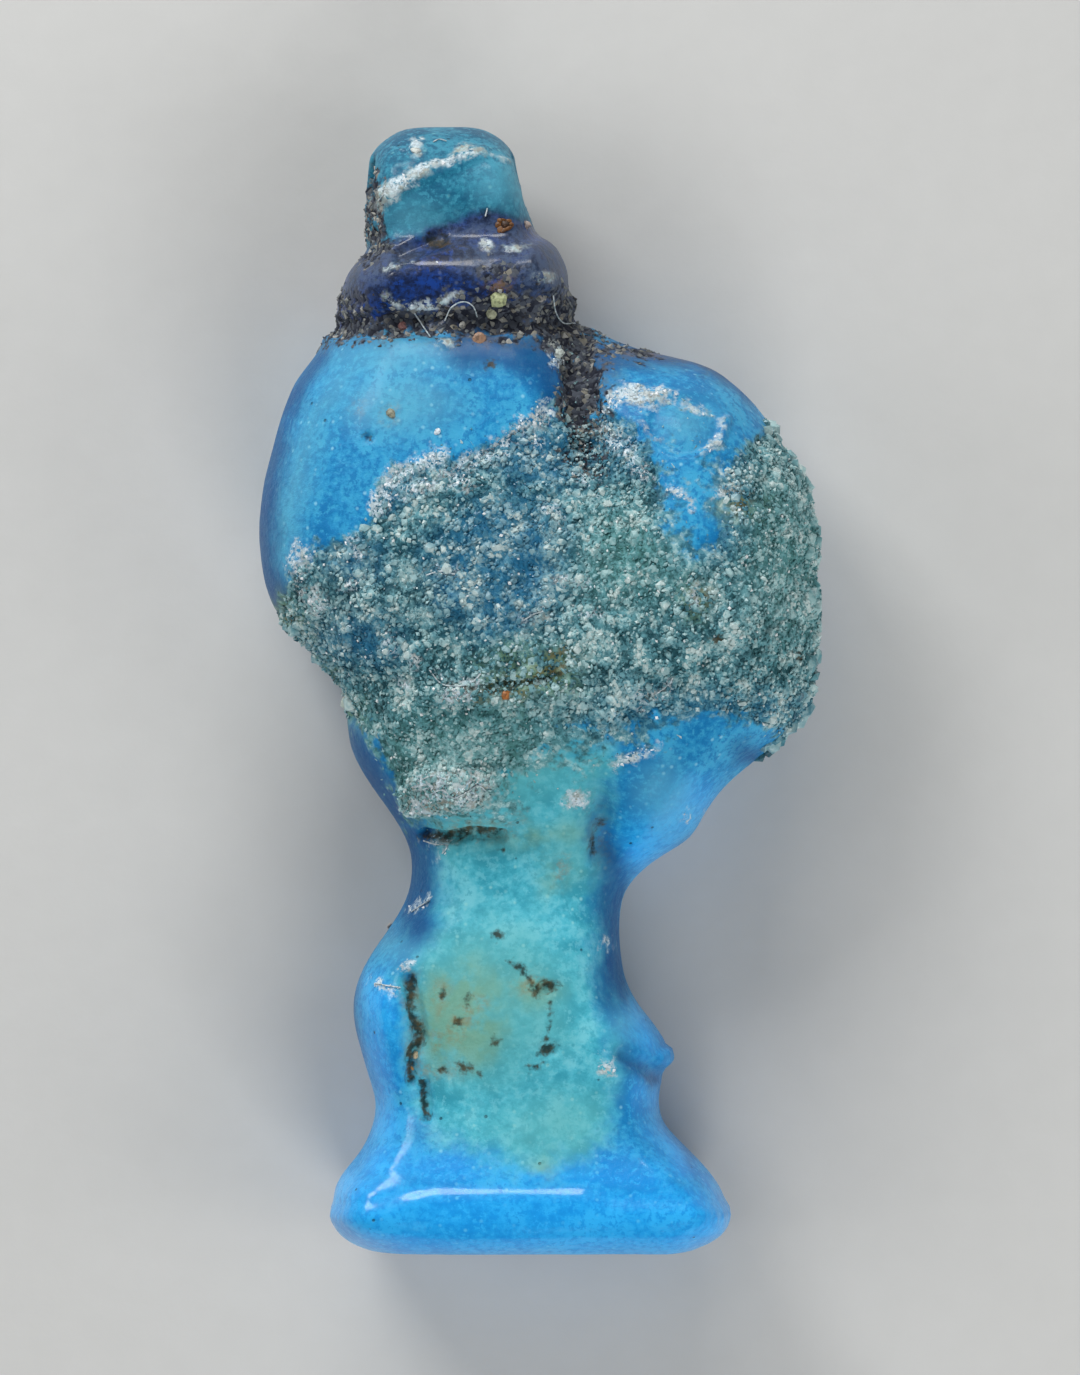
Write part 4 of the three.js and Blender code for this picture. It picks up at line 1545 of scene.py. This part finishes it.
@dataclass(frozen=True)
class Scatter:
    """Grains strewn over one covering by Geometry Nodes, sizes in millimetres.

    A grain is stretched between slimmest and stoutest along each axis, and sunk by a share of
    its size. Noise with so many lumps in a millimetre knocks its corners about.
    """

    name: str
    zone: Zone
    finish: GrainFinish
    spacing: float
    per_square: float
    smallest: float
    largest: float
    edge: float = 0.0
    fade: float = 0.1
    sunk: float = 0.15
    seed: int = 1
    chip: Chip = Chip.SHARD
    slimmest: float = 0.6
    stoutest: float = 1.4
    lumps_per_mm: float = 16.0

    def build(self, skin: bpy.types.Mesh, box: Box) -> bpy.types.Object:
        """Strews the grains over the skin.

        Args:
            skin: the skin's mesh, in millimetres.
            box: what the grains stay in.

        Returns:
            The finished object, in metres.
        """
        values = {
            "Spacing": self.spacing,
            "Per Square": self.per_square,
            "Smallest": self.smallest,
            "Largest": self.largest,
            "Edge": self.edge,
            "Fade": self.fade,
            "Sunk": self.sunk,
            "Knock": self.chip.value,
            "Seed": self.seed,
            "Finish": self.finish.material(),
        }
        mesh = self._tree().apply(link(self.name + "_carrier", skin.copy()), values)
        set_coordinates(mesh, box.hold(coordinates(mesh)) * MM)
        return link(self.name, mesh)

    def _tree(self) -> GeometryTree:
        """Writes the tree that strews the grains."""
        numbers = ("Spacing", "Per Square", "Smallest", "Largest", "Edge", "Fade", "Sunk", "Knock")
        tree = GeometryTree(self.name, numbers, ("Seed",))
        self._strew_points(tree)
        self._size_grains(tree)
        self._place_grains(tree)
        return tree

    def _strew_points(self, tree: GeometryTree) -> None:
        """Strews points over the covering, thinning out at its edge, each with its own tone."""
        read = "GeometryNodeInputNamedAttribute"
        tree.add("zone", read, {"Name": self.zone.value}, data_type="FLOAT")
        tree.add("inside", "ShaderNodeMath", operation="SUBTRACT")
        tree.add("share", "ShaderNodeMath", operation="DIVIDE", use_clamp=True)
        tree.add("points", "GeometryNodeDistributePointsOnFaces", distribute_method="POISSON")
        tree.add("tone", "FunctionNodeRandomValue", data_type="FLOAT")
        store = "GeometryNodeStoreNamedAttribute"
        tree.add("keep", store, {"Name": "tone"}, data_type="FLOAT", domain="POINT")
        tree.wire(
            ("zone", "Attribute", "inside", 0), ("in", "Edge", "inside", 1),
            ("inside", 0, "share", 0), ("in", "Fade", "share", 1),
            ("in", "Geometry", "points", "Mesh"), ("share", 0, "points", "Density Factor"),
            ("in", "Spacing", "points", "Distance Min"),
            ("in", "Per Square", "points", "Density Max"), ("in", "Seed", "points", "Seed"),
            ("in", "Seed", "tone", "Seed"), ("points", "Points", "keep", "Geometry"),
            ("tone", 1, "keep", "Value"),
        )

    def _size_grains(self, tree: GeometryTree) -> None:
        """Gives each grain its size, turn and depth."""
        vectors = {"data_type": "FLOAT_VECTOR"}
        tree.add("turn", "FunctionNodeRandomValue", {1: (math.tau,) * 3}, **vectors)
        stretch = {0: (self.slimmest,) * 3, 1: (self.stoutest,) * 3}
        tree.add("skew", "FunctionNodeRandomValue", stretch, **vectors)
        tree.add("size", "FunctionNodeRandomValue", data_type="FLOAT")
        tree.add("scale", "ShaderNodeVectorMath", operation="SCALE")
        tree.add("depth", "ShaderNodeMath", operation="MULTIPLY")
        tree.add("below", "ShaderNodeMath", {1: -1.0}, operation="MULTIPLY")
        tree.add("sink", "ShaderNodeVectorMath", operation="SCALE")
        tree.wire(
            ("in", "Seed", "size", "Seed"), ("in", "Seed", "turn", "Seed"),
            ("in", "Smallest", "size", 2), ("in", "Largest", "size", 3), ("skew", 0, "scale", 0),
            ("size", 1, "scale", "Scale"), ("size", 1, "depth", 0), ("in", "Sunk", "depth", 1),
            ("depth", 0, "below", 0), ("points", "Normal", "sink", 0),
            ("below", 0, "sink", "Scale"),
        )

    def _place_grains(self, tree: GeometryTree) -> None:
        """Sets a grain on each point, and knocks the grains out of true."""
        if self.chip is Chip.LUMP:
            tree.add("grain", "GeometryNodeMeshIcoSphere", {"Radius": 0.5, "Subdivisions": 1})
        else:
            coarse = {"Radius": 0.5, "Segments": 4, "Rings": 2}
            tree.add("grain", "GeometryNodeMeshUVSphere", coarse)
        tree.add("lower", "GeometryNodeSetPosition")
        tree.add("strew", "GeometryNodeInstanceOnPoints")
        tree.add("real", "GeometryNodeRealizeInstances")
        tree.add("unrest", "ShaderNodeTexNoise", {"Scale": self.lumps_per_mm})
        tree.add("middle", "ShaderNodeVectorMath", {1: (0.5,) * 3}, operation="SUBTRACT")
        tree.add("push", "ShaderNodeVectorMath", operation="SCALE")
        tree.add("knocked", "GeometryNodeSetPosition")
        tree.add("paint", "GeometryNodeSetMaterial")
        tree.wire(
            ("keep", "Geometry", "lower", "Geometry"), ("sink", 0, "lower", "Offset"),
            ("lower", "Geometry", "strew", "Points"), ("grain", "Mesh", "strew", "Instance"),
            ("turn", 0, "strew", "Rotation"), ("scale", 0, "strew", "Scale"),
            ("strew", "Instances", "real", "Geometry"), ("unrest", "Color", "middle", 0),
            ("middle", 0, "push", 0), ("in", "Knock", "push", "Scale"),
            ("push", 0, "knocked", "Offset"), ("real", "Geometry", "knocked", "Geometry"),
            ("knocked", "Geometry", "paint", "Geometry"), ("in", "Finish", "paint", "Material"),
            ("paint", "Geometry", "out", "Geometry"),
        )


@dataclass
class Ground:
    """The finished skin as something to lay single things on, in millimetres."""

    skin: bpy.types.Mesh

    def __post_init__(self) -> None:
        """Makes the skin ready to be probed from above."""
        shell = bmesh.new()
        shell.from_mesh(self.skin)
        self.tree = BVHTree.FromBMesh(shell)
        shell.free()

    def under(self, pixel: Point) -> Vector:
        """The highest place of the skin that a pixel of the photograph shows."""
        x, y = PHOTOGRAPH.on_amulet(pixel)
        hit = self.tree.ray_cast(Vector((x, y, 10)), Vector((0, 0, -1)))[0]
        return hit or Vector((x, y, 0))


@dataclass(frozen=True)
class Crumb:
    """One crumb of its own colour, with its size in millimetres."""

    place: Point
    size: float
    shade: Colour
    beads: int = 1
    bead_share: float = 0.55

    def bead_places(self) -> list[Point]:
        """The pixels of its beads: its own place, or a ring round it."""
        if self.beads == 1:
            return [self.place]
        reach = self.size * PHOTOGRAPH.pixels_per_mm / 2
        turns = [math.tau * i / self.beads for i in range(self.beads)]
        x, y = self.place
        return [(x + reach * math.cos(turn), y + reach * math.sin(turn)) for turn in turns]

    def bead_size(self) -> float:
        """How wide each bead is."""
        return self.size if self.beads == 1 else self.size * self.bead_share


@dataclass(frozen=True)
class OddCrumbs:
    """The few crumbs that stand out: sand, shell and rust that stuck in the hollows."""

    crumbs: tuple[Crumb, ...] = (
        Crumb((505, 231), 0.17, (0.17, 0.07, 0.02), beads=8),
        Crumb((506, 230), 0.12, (0.05, 0.022, 0.01)),
        Crumb((526, 229), 0.16, (0.42, 0.34, 0.30)),
        Crumb((499, 304), 0.30, (0.42, 0.46, 0.25)),
        Crumb((492, 318), 0.18, (0.50, 0.52, 0.36)),
        Crumb((404, 331), 0.15, (0.26, 0.13, 0.12)),
        Crumb((480, 344), 0.22, (0.33, 0.20, 0.13)),
        Crumb((464, 330), 0.12, (0.50, 0.50, 0.46)),
        Crumb((558, 358), 0.18, (0.50, 0.56, 0.52)),
        Crumb((540, 304), 0.12, (0.34, 0.32, 0.30)),
        Crumb((349, 702), 0.26, (0.52, 0.60, 0.54)),
        Crumb((394, 420), 0.16, (0.30, 0.30, 0.22)),
        Crumb((507, 695), 0.15, (0.45, 0.17, 0.05)),
        Crumb((417, 1051), 0.13, (0.62, 0.50, 0.32)),
        Crumb((414, 1064), 0.07, (0.50, 0.26, 0.10)),
        Crumb((440, 437), 0.11, (0.66, 0.76, 0.82)),
        Crumb((386, 932), 0.09, (0.45, 0.40, 0.36)),
        Crumb((417, 156), 0.14, (0.62, 0.66, 0.62)),
        Crumb((438, 270), 0.05, (0.70, 0.74, 0.80)),
    )
    flatness: float = 0.7
    unrest: float = 0.03
    unrest_size: float = 0.09
    seed: int = 12

    def build(self, ground: Ground, box: Box) -> bpy.types.Object:
        """Lays the crumbs.

        Args:
            ground: what they lie on.
            box: what they stay in.

        Returns:
            The finished object, in metres.
        """
        shell = bmesh.new()
        shades: list[Colour] = []
        for crumb in self.crumbs:
            for place in crumb.bead_places():
                middle = Matrix.Translation(ground.under(place))
                scale = Matrix.Diagonal((1, 1, self.flatness, 1))
                made = bmesh.ops.create_icosphere(
                    shell, subdivisions=2, radius=crumb.bead_size() / 2, matrix=middle @ scale
                )
                shades += [crumb.shade] * len(made["verts"])
        mesh = bpy.data.meshes.new("odd_crumbs")
        shell.to_mesh(mesh)
        shell.free()
        at, space = coordinates(mesh), RandomSpace(self.seed)
        size = self.unrest_size
        unrest = np.stack([space.smooth(at + 9 * i, size) for i in range(3)], axis=1)
        set_coordinates(mesh, box.hold(at + self.unrest * unrest) * MM)
        stored = mesh.attributes.new("shade", "FLOAT_COLOR", "POINT")
        stored.data.foreach_set("color", np.c_[shades, np.ones(len(shades))].ravel())
        mesh.materials.append(self._material())
        return link("odd_crumbs", mesh)

    def _material(self) -> bpy.types.Material:
        """Writes the crumbs' material."""
        book = NodeBook("crumb_grit")
        shade = book.node("ShaderNodeAttribute", {"attribute_name": "shade"}, output="Color")
        grain = book.noise(0.05, 3.0)
        shade = book.blend(shade, (0.02, 0.02, 0.02), grain.between(0.45, 0.7) * 0.6)
        return book.finish(Look(shade, 0.35 + 0.3 * grain, 0.0, grain), 0.01)


@dataclass(frozen=True)
class Fibres:
    """Lint that lies caught in the hollows and on the rough core."""

    paths: tuple[tuple[Point, ...], ...] = (
        ((446, 326), (452, 314), (464, 308), (474, 312), (478, 322)),
        ((553, 300), (556, 316), (564, 325), (575, 322)),
        ((416, 318), (424, 330), (432, 342)),
        ((486, 222), (488, 214)),
        ((429, 578), (443, 574), (457, 577)),
        ((524, 622), (534, 616), (543, 613)),
        # This fibre runs along the crease in the core: a white line that paints the crease's
        # highlight.
        ((432, 670), (444, 684), (462, 686), (474, 682), (482, 674)),
        ((424, 778), (434, 774), (446, 777)),
        ((434, 792), (444, 788), (456, 796), (470, 789), (480, 784), (491, 794)),
        ((424, 840), (436, 843), (448, 844), (443, 852)),
        ((412, 911), (422, 904), (430, 899)),
        ((376, 981), (388, 982), (402, 984)),
        ((434, 146), (440, 143), (447, 145)),
        ((670, 678), (664, 686), (654, 694)),
        ((380, 206), (386, 200)),
    )
    thickness: float = 0.024
    lift: float = 0.02
    steps: int = 6
    sides: int = 5
    shade: Colour = (0.62, 0.68, 0.70)
    # The darker tone along the fibres is painted shade.
    painted_shadow: Colour = (0.25, 0.34, 0.38)

    def build(self, ground: Ground, box: Box) -> bpy.types.Object:
        """Lays the fibres along their paths.

        Args:
            ground: what they lie on.
            box: what they stay in.

        Returns:
            The finished object, in metres.
        """
        points: list[Vector] = []
        edges: list[tuple[int, int]] = []
        for path in self.paths:
            first = len(points)
            lift = Vector((0, 0, self.lift))
            points += [ground.under(pixel) + lift for pixel in self._smooth(path)]
            edges += [(i, i + 1) for i in range(first, len(points) - 1)]
        lines = bpy.data.meshes.new("fibre_lines")
        lines.from_pydata(points, edges, [])
        values = {"Thickness": self.thickness / 2, "Finish": self._material()}
        mesh = self._tree().apply(link("fibre_lines", lines), values)
        set_coordinates(mesh, box.hold(coordinates(mesh)) * MM)
        return link("lint_fibres", mesh)

    def _smooth(self, path: Sequence[Point]) -> list[Point]:
        """Rounds a path's corners with points between its own."""
        ends = np.array([path[0], *path, path[-1]])
        places = []
        for a, b, c, d in zip(ends, ends[1:], ends[2:], ends[3:]):
            for share in np.linspace(0, 1, self.steps, endpoint=False):
                bend = (2 * a - 5 * b + 4 * c - d) * share**2 + (3 * b - a - 3 * c + d) * share**3
                places.append(tuple((2 * b + (c - a) * share + bend) / 2))
        return [*places, path[-1]]

    def _tree(self) -> GeometryTree:
        """Writes the tree that turns lines into round fibres."""
        tree = GeometryTree("fibres", ("Thickness",))
        tree.add("lines", "GeometryNodeMeshToCurve")
        tree.add("round", "GeometryNodeCurvePrimitiveCircle", {"Resolution": self.sides})
        tree.add("sweep", "GeometryNodeCurveToMesh", {"Fill Caps": True})
        tree.add("real", "GeometryNodeRealizeInstances")
        tree.add("paint", "GeometryNodeSetMaterial")
        tree.wire(
            ("in", "Geometry", "lines", "Mesh"), ("in", "Thickness", "round", "Radius"),
            ("lines", "Curve", "sweep", "Curve"), ("round", "Curve", "sweep", "Profile Curve"),
            ("sweep", "Mesh", "real", "Geometry"), ("real", "Geometry", "paint", "Geometry"),
            ("in", "Finish", "paint", "Material"), ("paint", "Geometry", "out", "Geometry"),
        )
        return tree

    def _material(self) -> bpy.types.Material:
        """Writes the fibres' material."""
        book = NodeBook("lint")
        grain = book.noise(0.06, 2.0)
        # Darker in patches along the fibre: painted shade.
        shade = book.blend(self.shade, self.painted_shadow, grain.between(0.4, 0.65))
        return book.finish(Look(shade, 0.3 + 0.2 * grain, 0.0, grain), 0.004)


@dataclass(frozen=True)
class Softbox:
    """A soft light that looks at the amulet, in millimetres and watts."""

    name: str
    place: Place
    wide: float
    tall: float
    watts: float
    mirrored: bool = True

    def build(self) -> None:
        """Makes the light, which the glaze mirrors or doesn't."""
        light = bpy.data.lights.new(self.name, "AREA")
        light.shape = "RECTANGLE"
        light.size, light.size_y = self.wide * MM, self.tall * MM
        light.energy = self.watts
        lamp = bpy.data.objects.new(self.name, light)
        lamp.location = Vector(self.place) * MM
        lamp.rotation_euler = (-lamp.location).to_track_quat("-Z", "Y").to_euler()
        lamp.visible_glossy = self.mirrored
        bpy.context.scene.collection.objects.link(lamp)


@dataclass
class Studio:
    """A pale floor, soft light and a camera straight above."""

    softboxes: tuple[Softbox, ...] = (
        Softbox("key", (-46, 64, 52), 34, 34, 0.046),
        Softbox("strip", (-6, 84, 38), 54, 18, 0.04),
        Softbox("left_fill", (-85, -5, 55), 50, 50, 0.022, mirrored=False),
        Softbox("right_fill", (84, -24, 50), 50, 50, 0.03, mirrored=False),
        Softbox("foot_fill", (26, -74, 56), 46, 46, 0.042, mirrored=False),
    )
    lens: float = 150.0
    sensor: float = 36.0
    frame_height: float = 22.04
    outline_level: float = 1.9
    floor_half: float = 250.0
    clip_share: float = 0.05
    floor_colour: Colour = (0.58, 0.58, 0.565)
    floor_grain: Colour = (0.55, 0.55, 0.535)
    sky_colour: Colour = (0.9, 0.95, 1.0)
    sky_strength: float = 0.11

    def build(self) -> None:
        """Makes the floor, the lights and the camera."""
        self._floor()
        for softbox in self.softboxes:
            softbox.build()
        self._sky()
        self._camera()
        bpy.context.scene.view_settings.view_transform = "Standard"

    def _floor(self) -> None:
        """A plain pale floor."""
        half = self.floor_half * MM
        mesh = bpy.data.meshes.new("floor")
        corners = [(-half, -half, 0), (half, -half, 0), (half, half, 0), (-half, half, 0)]
        mesh.from_pydata(corners, [], [(0, 1, 2, 3)])
        book = NodeBook("floor_paper")
        grain = book.noise(0.6, 3.0)
        colour = book.blend(self.floor_colour, self.floor_grain, grain)
        mesh.materials.append(book.finish(Look(colour, 0.8, 0.0, grain), 0.01))
        link("floor", mesh)

    def _sky(self) -> None:
        """Even light from all round."""
        world = bpy.data.worlds.new("studio")
        world.use_nodes = True
        shade = world.node_tree.nodes["Background"]
        shade.inputs["Color"].default_value = (*self.sky_colour, 1.0)
        shade.inputs["Strength"].default_value = self.sky_strength
        bpy.context.scene.world = world

    def _camera(self) -> None:
        """A camera that looks straight down on the amulet, with the loop at the top."""
        data = bpy.data.cameras.new("above")
        data.lens = self.lens
        data.sensor_width = self.sensor
        distance = self.frame_height * self.lens / self.sensor
        data.clip_start = self.clip_share * distance * MM
        camera = bpy.data.objects.new("above", data)
        camera.location = (0, 0, (self.outline_level + distance) * MM)
        bpy.context.scene.collection.objects.link(camera)
        bpy.context.scene.camera = camera


QUARTZ = GrainFinish("quartz_grain", core=BaredCore(), rough=0.12)

SCATTERS: tuple[Scatter, ...] = (
    Scatter(
        name="quartz_grains", zone=Zone.BARE, finish=QUARTZ, chip=Chip.LUMP, spacing=0.065,
        per_square=150, smallest=0.05, largest=0.18, fade=0.22, sunk=0.27, seed=3,
    ),
    Scatter(
        name="jutting_grains", zone=Zone.JUTTING, finish=QUARTZ, chip=Chip.LUMP, spacing=0.16,
        per_square=32, smallest=0.14, largest=0.32, sunk=0.12, seed=8,
    ),
    Scatter(
        name="quartz_glints", zone=Zone.BARE,
        finish=GrainFinish(
            "quartz_glint",
            shades=((0.30, 0.46, 0.48), (0.52, 0.66, 0.68), (0.88, 0.92, 0.92)), rough=0.08,
        ),
        spacing=0.07, per_square=15, smallest=0.02, largest=0.06, fade=0.3, sunk=-0.3, seed=11,
    ),
    Scatter(
        name="quartz_dust", zone=Zone.BARE, finish=QUARTZ, spacing=0.05, per_square=260,
        smallest=0.03, largest=0.08, sunk=-0.3, seed=6,
    ),
    Scatter(
        name="stray_grains", zone=Zone.STRAY, finish=QUARTZ, spacing=0.07, per_square=110,
        smallest=0.04, largest=0.12, fade=0.4, sunk=0.35, seed=4,
    ),
    Scatter(
        name="soil_crumbs", zone=Zone.SOIL,
        finish=GrainFinish(
            "soil_crumb",
            shades=(
                (0.014, 0.016, 0.022),
                (0.022, 0.025, 0.034),
                (0.045, 0.053, 0.070),
                (0.048, 0.045, 0.045),
                (0.085, 0.10, 0.125),
                (0.15, 0.17, 0.18),
                (0.20, 0.21, 0.20),
                (0.36, 0.36, 0.33),
            ),
            rough=0.4,
        ),
        spacing=0.06, per_square=150, smallest=0.03, largest=0.13, edge=-0.2, fade=0.32, seed=5,
    ),
    Scatter(
        name="crust_crystals", zone=Zone.CRUST,
        finish=GrainFinish(
            "crust_crystal",
            shades=((0.20, 0.42, 0.56), (0.52, 0.68, 0.78), (0.92, 0.95, 0.97)), rough=0.1,
        ),
        spacing=0.03, per_square=380, smallest=0.02, largest=0.075, edge=-0.06, fade=0.25, seed=9,
    ),
)


def deliver(obj: bpy.types.Object) -> None:
    """Makes a finished piece ride on the amulet, and reports its triangles."""
    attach(obj, BODY)
    obj.data.calc_loop_triangles()
    log.info("%s: %d triangles", obj.name, len(obj.data.loop_triangles))


def main() -> None:
    """Builds the dressed amulet and its studio."""
    logging.basicConfig(level=logging.INFO, format="%(name)s %(message)s")
    box = Box(*(np.array(corner) / MM for corner in cad_corners))
    Studio().build()
    skin_mesh = Skin(box).build()
    for scatter in SCATTERS:
        deliver(scatter.build(skin_mesh, box))
    ground = Ground(skin_mesh)
    deliver(OddCrumbs().build(ground, box))
    deliver(Fibres().build(ground, box))
    skin_mesh.transform(Matrix.Scale(MM, 4))
    skin_mesh.materials.clear()
    skin_mesh.materials.append(SkinFinish().material())
    skin = link("amulet_skin", skin_mesh)
    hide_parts(NODE)
    deliver(skin)


if __name__ == "__main__":
    main()
